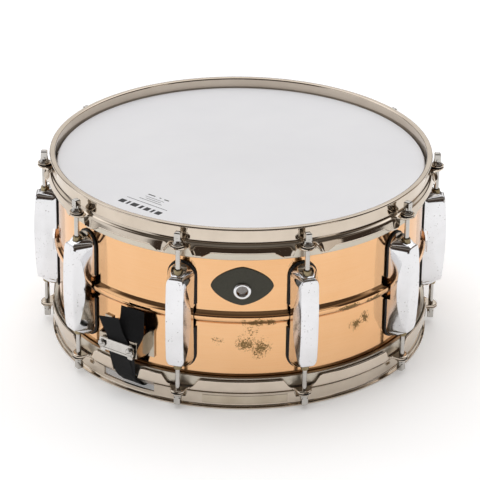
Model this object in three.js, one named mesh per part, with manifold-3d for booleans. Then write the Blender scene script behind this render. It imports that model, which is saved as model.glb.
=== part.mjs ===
// A 14 by 6.5 inch metal snare drum with ten double-ended lugs, triple-flanged
// hoops, a throw-off, a butt end and a set of coiled snare wires.
// Units are millimetres, +Z is up. The origin is at the centre of the bottom rim
// and the badge faces -Y. Every piece is drawn as if it stood at the front, where
// a point is (across, -radius, height above the drum's mid-plane), and is then
// turned about Z to its own azimuth.

import * as THREE from "three";
import { mergeVertices } from "three/addons/utils/BufferGeometryUtils.js";
import Module from "manifold-3d";

const wasm = await Module();
wasm.setup();

// ---------------------------------------------------------------- dimensions

const OVERALL_HEIGHT = 186;
const HALF_HEIGHT = OVERALL_HEIGHT / 2;
const ROUND_STEPS = 40;
const GAP = 0.3;

// Shell: 14 in across, 6.5 in deep, with one bead round its middle.
const SHELL_RADIUS = 177.8;
const SHELL_WALL = 1.2;
const SHELL_HALF = 82.55;
const BEAD_RADIUS = 182;
const BEAD_HALF = 6;
const EDGE_PEAK_RADIUS = 175.8;
const EDGE_FLANGE_RADIUS = 172.6;

// Heads and their flesh hoops.
const FILM = 0.5;
const COLLAR_INNER = SHELL_RADIUS + GAP;
const COLLAR_BOTTOM = 70;
const FLESH_INNER = COLLAR_INNER + FILM + GAP;
const FLESH_OUTER = 183;
const FLESH_BOTTOM = 61;
const FLESH_TOP = 72.3;

// Hoops: pressed from 2.3 mm steel, in a wall, a lip, a ledge and a skirt.
const SHEET = 2.3;
const HOOP_WALL_INNER = 179.3;
const HOOP_WALL_OUTER = HOOP_WALL_INNER + SHEET;
const HOOP_LIP_OUTER = 185;
const LEDGE_FACE = 75;
const LEDGE_UNDER = LEDGE_FACE - SHEET;
const SKIRT_OUTER = 186.3;
const SKIRT_INNER = SKIRT_OUTER - SHEET;
const TOP_SKIRT_EDGE = 68.8;
const TOP_LOBE_EDGE = 64.8;
const LOBE_OUTER_DEG = 8.3;
const BOTTOM_SKIRT_EDGE = 63.3;
const BOTTOM_NOTCH_HALF = 10;
const BOTTOM_NOTCH_FLARE = 15;
const EAR_REACH = 197;
const EAR_HALF_WIDTH = 8;
const EAR_NOTCH_HALF = 8.5;

// Lugs and tension rods, on one circle.
const LUG_COUNT = 10;
const LUG_PITCH_DEG = 360 / LUG_COUNT;
const FIRST_LUG_DEG = LUG_PITCH_DEG / 2;
const ROD_CIRCLE = 190.5;
const ROD_RADIUS = 2.7;
const ROD_STEPS = 8;
const ROD_HOLE_RADIUS = 3.5;
const ROD_TIP = 27;
const ROD_COLLAR_FACE = 76.9;
const ROD_COLLAR_TOP = 79;
const ROD_COLLAR_RADIUS = 5;
const ROD_HEAD_TOP = 89;
const ROD_HEAD_ACROSS = 6.2;
const LUG_BACK = SHELL_RADIUS + 0.4;
const LUG_FRONT = 201.7;
const LUG_HALF_LENGTH = 53.3;
const LUG_HALF_WIDTH = 12.6;
const LUG_PLATE_HALF = 8.5;
const LUG_CREASE_RADIUS = 190;
const LUG_BORE_RADIUS = 3.4;
const LUG_BORE_END = 22;
const LUG_NOTCH_HALF = 11.5;
const LUG_NOTCH_RADIUS = 183;

// Badge and vent.
const BADGE_HALF_WIDTH = 29;
const BADGE_HALF_HEIGHT = 19.35;
const BADGE_CENTRE = 32.65;
const BADGE_SHOULDER = 1.45;
const BADGE_TIP = 0.62;
const BADGE_INNER = SHELL_RADIUS + GAP;
const BADGE_OUTER = BADGE_INNER + 0.8;
const VENT_CENTRE = 28;
const VENT_BORE_RADIUS = 5.1;
const VENT_TUBE_RADIUS = 6;
const VENT_FLANGE_RADIUS = 8;
const VENT_HOLE_RADIUS = 6.4;
const VENT_TUBE_INNER = 174.6;
const VENT_FLANGE_FACE = 180.7;

// Snare mechanism. The butt end is at the front left, the throw-off opposite.
const BUTT_DEG = -36;
const THROW_DEG = BUTT_DEG + 180;
const GATE_HALF_DEG = 9.4;
const GATE_LOW = -88;
const GATE_HIGH = -LEDGE_FACE;
const SKIRT_GAP_HALF_DEG = 5.2;
const STRAP_WIDTH = 25;
const STRAP_THICK = 0.9;
const CLAMP_HALF_WIDTH = 20;
const CLAMP_THICK = 2.2;
const CLAMP_LOW = -46.5;
const CLAMP_HIGH = -34.5;
const CLAMP_SCREW_SPREAD = 16;
const CLAMP_SCREW_HEIGHT = (CLAMP_LOW + CLAMP_HIGH) / 2;
const SCREW_RADIUS = 1.7;
const SCREW_HOLE_RADIUS = 2.2;
const SCREW_HEAD_RADIUS = 4;
const SCREW_HEAD_THICK = 2.2;
const INSIDE_HEAD_GAP = 0.9;

const BUTT_FACE = 195.4;
const BUTT_SHEET = 2;
const BUTT_ARM_LOW = -47.8;
const BUTT_ARM_HIGH = -31.5;
const BUTT_ARM_HALF_WIDTH = 22;
const BUTT_FLANGE_LOW = -51;
const BUTT_FLANGE_HIGH = -23;
const BUTT_FLANGE_DEG = 9.2;
const BUTT_FLANGE_ROOT_DEG = 6.2;
const BUTT_SCREW_DEG = 8.1;
const BUTT_SCREW_HEIGHT = -27.5;
const BUTT_SCREW_TIP = SHELL_RADIUS + BUTT_SHEET;

const THROW_BACK = SHELL_RADIUS + 0.4;
const THROW_PLATE_FACE = 186;
const THROW_HALF_WIDTH = 15;
const THROW_LOW = -34;
const THROW_HIGH = 34;
const THROW_SCREW_HEIGHTS = [-26, 15];
const THROW_SCREW_TIP = 183.5;
const CARRIAGE_FACE = 193;
const CARRIAGE_HALF_WIDTH = 9;
const CARRIAGE_FOOT_HALF = 20;
const CARRIAGE_FOOT_HIGH = -36;
const CARRIAGE_FOOT_LOW = -50;
const CARRIAGE_TOP = -5;
const THROW_CLAMP_SCREW_HEIGHT = -43;
const PIVOT_RADIUS_AT = 195;
const PIVOT_HEIGHT = 12;
const PIVOT_PIN_RADIUS = 2;
const PIVOT_HOLE_RADIUS = 2.5;
const PIVOT_HEAD_RADIUS = 3.4;
const PIVOT_HEAD_THICK = 1.4;
const PIVOT_BLOCK_HALF = 8.5;
const LEVER_ARM_IN = 9.2;
const LEVER_ARM_OUT = 14.2;
const LEVER_THICK = 4.8;
const LEVER_BOSS_RADIUS = 4.6;
const LEVER_TOP = 64;
const LEVER_GRIP_LOW = 44;
const KNOB_AXIS = 184.6;
const KNOB_RADIUS = 6;
const KNOB_LOW = 35.5;
const KNOB_HIGH = 43.5;
const KNOB_STUD_RADIUS = 2;
const KNOB_STUD_LOW = 22;
const KNOB_BOSS_FACE = 190;

// Snare wires: twenty strands between two end plates, below the resonant head.
const STRAND_COUNT = 20;
const STRAND_PITCH = 2.05;
const STRAND_THICK = 1.4;
const WIRES_TOP = -83.9;
const WIRES_PLATE_IN = 138;
const WIRES_PLATE_OUT = 150;
const WIRES_PLATE_HALF = 21;

// ----------------------------------------------------------------- finishes

function finish(color, metalness, roughness) {
  return new THREE.MeshStandardMaterial({ color, metalness, roughness });
}

const bronze = finish(0xd9a36c, 1, 0.18);
const chrome = finish(0xd5d6d8, 1, 0.12);
const nickel = finish(0xc2bba9, 1, 0.15);
const steel = finish(0xb9b7b2, 1, 0.3);
const aluminium = finish(0xd3cfc6, 0.9, 0.35);
const coatedFilm = finish(0xe6e6e8, 0, 0.7);
const clearFilm = finish(0xe2e2dc, 0, 0.25);
const badgePaint = finish(0x3d3a2e, 0.2, 0.5);
const blackRibbon = finish(0x101012, 0, 0.85);

// ------------------------------------------------------------------- solids

// A closed three.js geometry as a solid that can be joined and cut.
function solid(geometry) {
  const bare = geometry.clone();
  bare.deleteAttribute("normal");
  bare.deleteAttribute("uv");
  const merged = mergeVertices(bare, 1e-4);
  return new wasm.Manifold(
    new wasm.Mesh({
      numProp: 3,
      vertProperties: new Float32Array(merged.attributes.position.array),
      triVerts: new Uint32Array(merged.index.array),
    }),
  );
}

function mesh(name, shape, material) {
  const data = shape.getMesh();
  const geometry = new THREE.BufferGeometry();
  geometry.setAttribute(
    "position",
    new THREE.BufferAttribute(new Float32Array(data.vertProperties), 3),
  );
  geometry.setIndex(new THREE.BufferAttribute(new Uint32Array(data.triVerts), 1));
  geometry.computeVertexNormals();
  const made = new THREE.Mesh(geometry, material);
  made.name = name;
  return made;
}

function joined(shapes) {
  return shapes.reduce((sum, next) => sum.add(next));
}

function cutBy(shape, cutters) {
  return cutters.reduce((left, next) => left.subtract(next), shape);
}

function turned(shape, degrees) {
  return shape.rotate([0, 0, degrees]);
}

// A closed outline of [radius, height] points turned about Z.
function revolved(outline, steps = ROUND_STEPS) {
  const area = THREE.ShapeUtils.area(outline.map(([x, y]) => ({ x, y })));
  const ordered = area > 0 ? outline : outline.toReversed();
  const points = [...ordered, ordered[0]].map(([r, z]) => new THREE.Vector2(r, z));
  const geometry = new THREE.LatheGeometry(points, steps);
  geometry.rotateX(Math.PI / 2);
  return solid(geometry);
}

function extruded(outline, depth) {
  const shape = new THREE.Shape(outline.map(([x, y]) => new THREE.Vector2(x, y)));
  return new THREE.ExtrudeGeometry(shape, { depth, bevelEnabled: false });
}

// An outline of [across, -radius] points, between two heights.
function upright(outline, low, high) {
  return solid(extruded(outline, high - low).translate(0, 0, low));
}

// An outline of [across, height] points, between two radii.
function facing(outline, inner, outer) {
  const geometry = extruded(outline, outer - inner);
  geometry.translate(0, 0, inner);
  const basis = new THREE.Matrix4().makeBasis(
    new THREE.Vector3(1, 0, 0),
    new THREE.Vector3(0, 0, 1),
    new THREE.Vector3(0, -1, 0),
  );
  return solid(geometry.applyMatrix4(basis));
}

// An outline of [radius, height] points, as wide as given across the front.
function sideways(outline, width, centre = 0) {
  const geometry = extruded(outline, width);
  geometry.translate(0, 0, -width / 2 - centre);
  const basis = new THREE.Matrix4().makeBasis(
    new THREE.Vector3(0, -1, 0),
    new THREE.Vector3(0, 0, 1),
    new THREE.Vector3(-1, 0, 0),
  );
  return solid(geometry.applyMatrix4(basis));
}

function block(left, right, inner, outer, low, high) {
  const outline = [
    [left, low],
    [right, low],
    [right, high],
    [left, high],
  ];
  return facing(outline, inner, outer);
}

// A stretch of ring between two radii, two azimuths and two heights.
function sector(inner, outer, fromDeg, toDeg, low, high) {
  const steps = Math.max(2, Math.ceil((toDeg - fromDeg) / 6));
  const arc = (radius) =>
    Array.from({ length: steps + 1 }, (_, i) => {
      const azimuth = THREE.MathUtils.degToRad(fromDeg + ((toDeg - fromDeg) * i) / steps);
      return [radius * Math.sin(azimuth), -radius * Math.cos(azimuth)];
    });
  return upright([...arc(outer), ...arc(inner).reverse()], low, high);
}

// A pin or hole pointing outwards from the drum's axis.
function radialPin(radius, inner, outer, across, height, steps = 12) {
  const geometry = new THREE.CylinderGeometry(radius, radius, outer - inner, steps);
  geometry.translate(across, -(inner + outer) / 2, height);
  return solid(geometry);
}

function uprightPin(radius, distance, low, high, steps = 12) {
  const geometry = new THREE.CylinderGeometry(radius, radius, high - low, steps);
  geometry.rotateX(Math.PI / 2);
  geometry.translate(0, -distance, (low + high) / 2);
  return solid(geometry);
}

function crossPin(radius, distance, height, halfLength, steps = 12) {
  const geometry = new THREE.CylinderGeometry(radius, radius, 2 * halfLength, steps);
  geometry.rotateZ(Math.PI / 2);
  geometry.translate(0, -distance, height);
  return solid(geometry);
}

// A flat band of even thickness along a path of [radius, height] points.
function band(path, thick, width, centre = 0) {
  const offset = (side) =>
    path.map(([r, z], i) => {
      const before = path[Math.max(0, i - 1)];
      const after = path[Math.min(path.length - 1, i + 1)];
      const along = new THREE.Vector2(after[0] - before[0], after[1] - before[1]).normalize();
      return [r - (side * along.y * thick) / 2, z + (side * along.x * thick) / 2];
    });
  return sideways([...offset(1), ...offset(-1).reverse()], width, centre);
}

const lugAzimuths = Array.from(
  { length: LUG_COUNT },
  (_, i) => FIRST_LUG_DEG + i * LUG_PITCH_DEG,
);

// -------------------------------------------------------------------- shell

function shellSolid() {
  const inner = SHELL_RADIUS - SHELL_WALL;
  const upperOutside = [
    [BEAD_RADIUS, 2],
    [BEAD_RADIUS - 1.6, 4.6],
    [SHELL_RADIUS, BEAD_HALF],
    [SHELL_RADIUS, SHELL_HALF - 3.6],
    [EDGE_PEAK_RADIUS, SHELL_HALF],
    [EDGE_FLANGE_RADIUS, SHELL_HALF - 2.6],
    [EDGE_FLANGE_RADIUS, SHELL_HALF - 3.9],
    [EDGE_PEAK_RADIUS - 0.8, SHELL_HALF - 1.7],
    [inner, SHELL_HALF - 4.2],
    [inner, BEAD_HALF],
    [BEAD_RADIUS - SHELL_WALL, 1.4],
  ];
  const lower = upperOutside.map(([r, z]) => [r, -z]).reverse();
  const body = revolved([...upperOutside, ...lower]);
  const vent = radialPin(VENT_HOLE_RADIUS, 165, 190, 0, VENT_CENTRE, 16);
  const buttScrews = [-BUTT_SCREW_DEG, BUTT_SCREW_DEG].map((offset) =>
    turned(radialPin(SCREW_HOLE_RADIUS, 165, 190, 0, BUTT_SCREW_HEIGHT), BUTT_DEG + offset),
  );
  const throwScrews = THROW_SCREW_HEIGHTS.map((height) =>
    turned(radialPin(SCREW_HOLE_RADIUS, 165, 190, 0, height), THROW_DEG),
  );
  return cutBy(body, [vent, ...buttScrews, ...throwScrews]);
}

// -------------------------------------------------------------------- heads

// One skin of film over the bearing edge, turned down into a collar.
function headSolid() {
  const face = SHELL_HALF + GAP;
  return revolved([
    [0.001, face],
    [EDGE_PEAK_RADIUS + 0.4, face],
    [COLLAR_INNER, SHELL_HALF - 3],
    [COLLAR_INNER, COLLAR_BOTTOM],
    [COLLAR_INNER + FILM, COLLAR_BOTTOM],
    [COLLAR_INNER + FILM, SHELL_HALF - 2.8],
    [EDGE_PEAK_RADIUS + 0.8, face + FILM],
    [0.001, face + FILM],
  ]);
}

function fleshHoopSolid() {
  return revolved([
    [FLESH_INNER, FLESH_BOTTOM],
    [FLESH_OUTER, FLESH_BOTTOM],
    [FLESH_OUTER, FLESH_TOP],
    [FLESH_INNER, FLESH_TOP],
  ]);
}

// -------------------------------------------------------------------- hoops

function hoopSection(skirtEdge) {
  return [
    [HOOP_WALL_INNER, LEDGE_UNDER],
    [SKIRT_INNER, LEDGE_UNDER],
    [SKIRT_INNER, skirtEdge],
    [SKIRT_OUTER, skirtEdge],
    [SKIRT_OUTER, LEDGE_FACE],
    [HOOP_WALL_OUTER, LEDGE_FACE],
    [HOOP_WALL_OUTER, HALF_HEIGHT - 3.4],
    [HOOP_LIP_OUTER, HALF_HEIGHT - 2.2],
    [HOOP_LIP_OUTER, HALF_HEIGHT],
    [HOOP_WALL_INNER + 1.4, HALF_HEIGHT],
    [HOOP_WALL_INNER, HALF_HEIGHT - 1.6],
  ];
}

function earSolid() {
  const centre = EAR_REACH - EAR_HALF_WIDTH;
  const root = HOOP_WALL_INNER + 1;
  const steps = 5;
  const round = Array.from({ length: steps + 1 }, (_, i) => {
    const angle = Math.PI + (i * Math.PI) / steps;
    return [EAR_HALF_WIDTH * Math.cos(angle), -centre + EAR_HALF_WIDTH * Math.sin(angle)];
  });
  const outline = [...round, [EAR_HALF_WIDTH + 1, -root], [-EAR_HALF_WIDTH - 1, -root]];
  return upright(outline, LEDGE_UNDER, LEDGE_FACE);
}

function withEars(hoop) {
  const ear = earSolid();
  const hole = uprightPin(ROD_HOLE_RADIUS, ROD_CIRCLE, LEDGE_UNDER - 5, LEDGE_FACE + 5, ROD_STEPS);
  const eared = joined([hoop, ...lugAzimuths.map((azimuth) => turned(ear, azimuth))]);
  return cutBy(eared, lugAzimuths.map((azimuth) => turned(hole, azimuth)));
}

// The top skirt is cut away at each ear and drops to a lobe on each side of it.
function topHoopSolid() {
  const body = revolved(hoopSection(TOP_LOBE_EDGE));
  const below = TOP_LOBE_EDGE - 5;
  const [inner, outer] = [SKIRT_INNER - 0.5, SKIRT_OUTER + 4];
  const notch = block(-EAR_NOTCH_HALF, EAR_NOTCH_HALF, inner, outer, below, LEDGE_UNDER);
  const span = sector(
    inner,
    outer,
    LOBE_OUTER_DEG,
    LUG_PITCH_DEG - LOBE_OUTER_DEG,
    below,
    TOP_SKIRT_EDGE,
  );
  const cutters = lugAzimuths.flatMap((azimuth) => [turned(notch, azimuth), turned(span, azimuth)]);
  return withEars(cutBy(body, cutters));
}

// Drawn with its rim upwards like the top hoop; it is turned over when placed.
function bottomHoopSolid() {
  const body = revolved(hoopSection(BOTTOM_SKIRT_EDGE));
  const wide = BOTTOM_NOTCH_HALF + BOTTOM_NOTCH_FLARE;
  const notch = facing(
    [
      [-BOTTOM_NOTCH_HALF, LEDGE_UNDER],
      [-wide, BOTTOM_SKIRT_EDGE - 1],
      [wide, BOTTOM_SKIRT_EDGE - 1],
      [BOTTOM_NOTCH_HALF, LEDGE_UNDER],
    ],
    SKIRT_INNER - 4,
    SKIRT_OUTER + 6,
  );
  const gates = [BUTT_DEG, THROW_DEG].flatMap((azimuth) => [
    sector(
      HOOP_WALL_INNER - 3,
      HOOP_WALL_OUTER + 0.6,
      -azimuth - GATE_HALF_DEG,
      -azimuth + GATE_HALF_DEG,
      -GATE_HIGH,
      -GATE_LOW,
    ),
    sector(
      SKIRT_INNER - 1,
      SKIRT_OUTER + 3,
      -azimuth - SKIRT_GAP_HALF_DEG,
      -azimuth + SKIRT_GAP_HALF_DEG,
      BOTTOM_SKIRT_EDGE - 2,
      LEDGE_UNDER,
    ),
  ]);
  const cutters = lugAzimuths.map((azimuth) => turned(notch, azimuth));
  return withEars(cutBy(body, [...cutters, ...gates]));
}

// --------------------------------------------------------- lugs and tension rods

function lugSolid() {
  const upperSide = [
    [LUG_FRONT, 0],
    [LUG_FRONT - 0.3, 15],
    [LUG_FRONT - 1, 28],
    [LUG_FRONT - 2.2, 40],
    [LUG_FRONT - 3.9, 45],
    [LUG_BACK + 3, LUG_HALF_LENGTH - 0.4],
    [LUG_BACK, LUG_HALF_LENGTH],
    [LUG_BACK, LUG_NOTCH_HALF],
    [LUG_NOTCH_RADIUS, LUG_NOTCH_HALF - 1.5],
  ];
  const lowerSide = upperSide.slice(1).map(([r, z]) => [r, -z]).reverse();
  const side = sideways([...upperSide, ...lowerSide], 2 * LUG_HALF_WIDTH + 4);
  const dome = (sign) =>
    Array.from({ length: 7 }, (_, i) => {
      const angle = (i * Math.PI) / 6;
      const centre = LUG_HALF_LENGTH - LUG_HALF_WIDTH;
      return [
        sign * LUG_HALF_WIDTH * Math.cos(angle),
        sign * (centre + LUG_HALF_WIDTH * Math.sin(angle)),
      ];
    });
  const front = facing([...dome(1), ...dome(-1)], LUG_BACK - 1, LUG_FRONT + 1);
  const section = upright(
    [
      [-LUG_HALF_WIDTH, -LUG_BACK + 1],
      [-LUG_HALF_WIDTH, -LUG_CREASE_RADIUS],
      [-LUG_PLATE_HALF, -LUG_FRONT],
      [LUG_PLATE_HALF, -LUG_FRONT],
      [LUG_HALF_WIDTH, -LUG_CREASE_RADIUS],
      [LUG_HALF_WIDTH, -LUG_BACK + 1],
    ],
    -LUG_HALF_LENGTH - 1,
    LUG_HALF_LENGTH + 1,
  );
  const bores = [1, -1].map((sign) => {
    const ends = [sign * LUG_BORE_END, sign * (LUG_HALF_LENGTH + 2)].sort((a, b) => a - b);
    return uprightPin(LUG_BORE_RADIUS, ROD_CIRCLE, ends[0], ends[1], ROD_STEPS);
  });
  return cutBy(side.intersect(front).intersect(section), bores);
}

// A tension rod with its shaft on the Z axis: shaft, conical collar, square head.
function rodSolid() {
  const turnedPart = revolved(
    [
      [0.001, ROD_TIP],
      [ROD_RADIUS - 0.7, ROD_TIP],
      [ROD_RADIUS, ROD_TIP + 1.5],
      [ROD_RADIUS, ROD_COLLAR_FACE],
      [ROD_COLLAR_RADIUS, ROD_COLLAR_FACE],
      [ROD_COLLAR_RADIUS, ROD_COLLAR_FACE + 0.7],
      [ROD_HEAD_ACROSS / 2, ROD_COLLAR_TOP],
      [0.001, ROD_COLLAR_TOP],
    ],
    ROD_STEPS,
  );
  const height = ROD_HEAD_TOP - ROD_COLLAR_TOP + 1;
  const square = new THREE.BoxGeometry(ROD_HEAD_ACROSS, ROD_HEAD_ACROSS, height);
  square.translate(0, 0, ROD_HEAD_TOP - height / 2);
  return turnedPart.add(solid(square));
}

// ----------------------------------------------------------- badge and vent

function badgeSolid() {
  const steps = 32;
  const outline = Array.from({ length: steps }, (_, i) => {
    const angle = (2 * Math.PI * i) / steps;
    const across = Math.cos(angle);
    const rise = (1 - Math.abs(across) ** BADGE_SHOULDER) ** BADGE_TIP;
    return [
      BADGE_HALF_WIDTH * across,
      BADGE_CENTRE + BADGE_HALF_HEIGHT * rise * Math.sign(Math.sin(angle)),
    ];
  });
  const blank = facing(outline, BADGE_INNER - 8, BADGE_OUTER + 3);
  const skin = revolved([
    [BADGE_INNER, 5],
    [BADGE_OUTER, 5],
    [BADGE_OUTER, 60],
    [BADGE_INNER, 60],
  ]);
  const hole = radialPin(VENT_HOLE_RADIUS, 165, 190, 0, VENT_CENTRE, 16);
  return blank.intersect(skin).subtract(hole);
}

function grommetSolid() {
  const tube = radialPin(VENT_TUBE_RADIUS, VENT_TUBE_INNER, BADGE_OUTER + 1, 0, VENT_CENTRE, 20);
  const seat = BADGE_OUTER + GAP;
  const flange = radialPin(VENT_FLANGE_RADIUS, seat, VENT_FLANGE_FACE, 0, VENT_CENTRE, 20);
  const bore = radialPin(VENT_BORE_RADIUS, 170, 185, 0, VENT_CENTRE, 20);
  return tube.add(flange).subtract(bore);
}

// ---------------------------------------------------------- fasteners and strap

function screwSolid(inner, headFace, across, height) {
  const shaft = radialPin(SCREW_RADIUS, inner, headFace + 0.5, across, height, 8);
  const head = radialPin(
    SCREW_HEAD_RADIUS,
    headFace,
    headFace + SCREW_HEAD_THICK,
    across,
    height,
    12,
  );
  const slot = block(
    across - 0.6,
    across + 0.6,
    headFace + SCREW_HEAD_THICK - 0.9,
    headFace + SCREW_HEAD_THICK + 1,
    height - SCREW_HEAD_RADIUS - 1,
    height + SCREW_HEAD_RADIUS + 1,
  );
  return shaft.add(head).subtract(slot);
}

// A screw put in from inside the shell, with its head against the inner wall.
function insideScrewSolid(height, tip) {
  const headFace = SHELL_RADIUS - SHELL_WALL - INSIDE_HEAD_GAP;
  const shaft = radialPin(SCREW_RADIUS, headFace - 1, tip, 0, height, 8);
  const head = radialPin(SCREW_HEAD_RADIUS, headFace - SCREW_HEAD_THICK, headFace, 0, height, 12);
  return shaft.add(head);
}

function clampPlateSolid(inner, low, high, screwHeight) {
  const plate = block(-CLAMP_HALF_WIDTH, CLAMP_HALF_WIDTH, inner, inner + CLAMP_THICK, low, high);
  const holes = [-1, 1].map((side) =>
    radialPin(SCREW_HOLE_RADIUS, inner - 2, inner + 5, side * CLAMP_SCREW_SPREAD, screwHeight),
  );
  return cutBy(plate, holes);
}

// The ribbon drops from its clamp, turns in through the gate and runs to the wires.
function strapSolid(clampRadius, top, bend) {
  return band(
    [
      [clampRadius, top],
      [clampRadius, bend],
      [188.3, -74.3],
      [186.4, -78],
      [182, -81.4],
      [176, -84.3],
      [WIRES_PLATE_OUT + GAP, -84.8],
    ],
    STRAP_THICK,
    STRAP_WIDTH,
  );
}

// ----------------------------------------------------------------- butt end

// A hat-shaped bracket: two flanges on the shell, two arms and a front wall.
function buttBracketSolid() {
  const flanges = [-1, 1].map((side) => {
    const edges = [side * BUTT_FLANGE_ROOT_DEG, side * BUTT_FLANGE_DEG].sort((a, b) => a - b);
    return sector(
      SHELL_RADIUS + GAP,
      SHELL_RADIUS + GAP + BUTT_SHEET,
      edges[0],
      edges[1],
      BUTT_FLANGE_LOW,
      BUTT_FLANGE_HIGH,
    );
  });
  const half = BUTT_ARM_HALF_WIDTH;
  const arms = [-1, 1].map((side) => {
    const edges = [side * (half - BUTT_SHEET), side * half].sort((a, b) => a - b);
    return block(edges[0], edges[1], 177.5, BUTT_FACE, BUTT_ARM_LOW, BUTT_ARM_HIGH);
  });
  const wall = block(-half, half, BUTT_FACE - BUTT_SHEET, BUTT_FACE, BUTT_ARM_LOW, BUTT_ARM_HIGH);
  const clampHoles = [-1, 1].map((side) =>
    radialPin(SCREW_HOLE_RADIUS, 190, 199, side * CLAMP_SCREW_SPREAD, CLAMP_SCREW_HEIGHT),
  );
  const shellHoles = [-BUTT_SCREW_DEG, BUTT_SCREW_DEG].map((offset) =>
    turned(radialPin(SCREW_HOLE_RADIUS, 170, 190, 0, BUTT_SCREW_HEIGHT), offset),
  );
  const shellSpace = revolved([
    [100, -60],
    [SHELL_RADIUS + GAP, -60],
    [SHELL_RADIUS + GAP, -10],
    [100, -10],
  ]);
  return cutBy(joined([...flanges, ...arms, wall]), [...clampHoles, ...shellHoles, shellSpace]);
}

// ---------------------------------------------------------------- throw-off

// A cast base: back plate over the bead, two rails and a block for the pivot.
function throwBaseSolid() {
  const half = THROW_HALF_WIDTH;
  const plate = block(-half, half, THROW_BACK - 3, THROW_PLATE_FACE, THROW_LOW, THROW_HIGH);
  const rails = [-1, 1].map((side) => {
    const edges = [side * (CARRIAGE_HALF_WIDTH + GAP), side * half].sort((a, b) => a - b);
    return block(edges[0], edges[1], THROW_PLATE_FACE - 1, CARRIAGE_FACE, THROW_LOW, -1);
  });
  const pivotBlock = block(
    -PIVOT_BLOCK_HALF,
    PIVOT_BLOCK_HALF,
    THROW_PLATE_FACE - 1,
    PIVOT_RADIUS_AT + 4,
    PIVOT_HEIGHT - 5,
    PIVOT_HEIGHT + 5,
  );
  const pivotHole = crossPin(PIVOT_HOLE_RADIUS, PIVOT_RADIUS_AT, PIVOT_HEIGHT, 20);
  const shellSpace = revolved([
    [100, -60],
    [THROW_BACK, -60],
    [THROW_BACK, -BEAD_HALF - 1.2],
    [BEAD_RADIUS + 0.6, -BEAD_HALF - 0.6],
    [BEAD_RADIUS + 0.6, BEAD_HALF + 0.6],
    [THROW_BACK, BEAD_HALF + 1.2],
    [THROW_BACK, 60],
    [100, 60],
  ]);
  const knobBoss = block(
    -PIVOT_BLOCK_HALF,
    PIVOT_BLOCK_HALF,
    THROW_PLATE_FACE - 1,
    KNOB_BOSS_FACE,
    PIVOT_HEIGHT,
    THROW_HIGH,
  );
  const knobHole = uprightPin(KNOB_STUD_RADIUS + 0.4, KNOB_AXIS, KNOB_STUD_LOW - 0.5, 40);
  const screwHoles = THROW_SCREW_HEIGHTS.map((height) =>
    radialPin(SCREW_HOLE_RADIUS, 170, THROW_SCREW_TIP + 0.5, 0, height),
  );
  return cutBy(joined([plate, ...rails, pivotBlock, knobBoss]), [
    pivotHole,
    shellSpace,
    knobHole,
    ...screwHoles,
  ]);
}

// The carriage: a stem between the rails and a wide foot that carries the clamp.
function carriageSolid() {
  const back = THROW_PLATE_FACE + GAP;
  const half = CARRIAGE_HALF_WIDTH;
  const stem = block(-half, half, back, CARRIAGE_FACE, CARRIAGE_FOOT_LOW, CARRIAGE_TOP);
  const foot = block(
    -CARRIAGE_FOOT_HALF,
    CARRIAGE_FOOT_HALF,
    back,
    CARRIAGE_FACE,
    CARRIAGE_FOOT_LOW,
    CARRIAGE_FOOT_HIGH,
  );
  const holes = [-1, 1].map((side) =>
    radialPin(SCREW_HOLE_RADIUS, 185, 195, side * CLAMP_SCREW_SPREAD, THROW_CLAMP_SCREW_HEIGHT),
  );
  return cutBy(stem.add(foot), holes);
}

// A disc across the front, centred on the pivot, between two distances sideways.
function pivotDisc(radius, side, near, far) {
  const geometry = new THREE.CylinderGeometry(radius, radius, far - near, 16);
  geometry.rotateZ(Math.PI / 2);
  geometry.translate((side * (near + far)) / 2, -PIVOT_RADIUS_AT, PIVOT_HEIGHT);
  return solid(geometry);
}

// The lever: two arms on the pin, one each side of the block, joined by a grip.
function leverSolid() {
  const inner = PIVOT_RADIUS_AT - LEVER_THICK / 2;
  const outer = PIVOT_RADIUS_AT + LEVER_THICK / 2;
  const arms = [-1, 1].flatMap((side) => {
    const edges = [side * LEVER_ARM_IN, side * LEVER_ARM_OUT].sort((a, b) => a - b);
    return [
      block(edges[0], edges[1], inner, outer, PIVOT_HEIGHT, LEVER_GRIP_LOW + 1),
      pivotDisc(LEVER_BOSS_RADIUS, side, LEVER_ARM_IN, LEVER_ARM_OUT),
    ];
  });
  const grip = sideways(
    [
      [inner, LEVER_GRIP_LOW],
      [outer, LEVER_GRIP_LOW],
      [outer + 1, LEVER_TOP - 8],
      [outer + 4.5, LEVER_TOP - 2],
      [outer + 3, LEVER_TOP],
      [inner + 1, LEVER_TOP - 5],
    ],
    2 * LEVER_ARM_OUT,
  );
  const hole = crossPin(PIVOT_HOLE_RADIUS, PIVOT_RADIUS_AT, PIVOT_HEIGHT, 20);
  return joined([...arms, grip]).subtract(hole);
}

function pivotPinSolid() {
  const near = LEVER_ARM_OUT + GAP;
  const far = near + PIVOT_HEAD_THICK;
  const shaft = crossPin(PIVOT_PIN_RADIUS, PIVOT_RADIUS_AT, PIVOT_HEIGHT, near + 0.9);
  const ends = [-1, 1].map((side) => pivotDisc(PIVOT_HEAD_RADIUS, side, near, far));
  return joined([shaft, ...ends]);
}

// The knob with its axis on Z: a fluted thumb wheel on a threaded stud.
function knobSolid() {
  const flutes = 12;
  const outline = Array.from({ length: 2 * flutes }, (_, i) => {
    const angle = (Math.PI * i) / flutes;
    const radius = i % 2 ? KNOB_RADIUS - 0.6 : KNOB_RADIUS;
    return [radius * Math.cos(angle), radius * Math.sin(angle)];
  });
  const wheel = upright(outline, KNOB_LOW, KNOB_HIGH);
  return wheel.add(uprightPin(KNOB_STUD_RADIUS, 0, KNOB_STUD_LOW, KNOB_LOW + 1));
}

// -------------------------------------------------------------- snare wires

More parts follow.
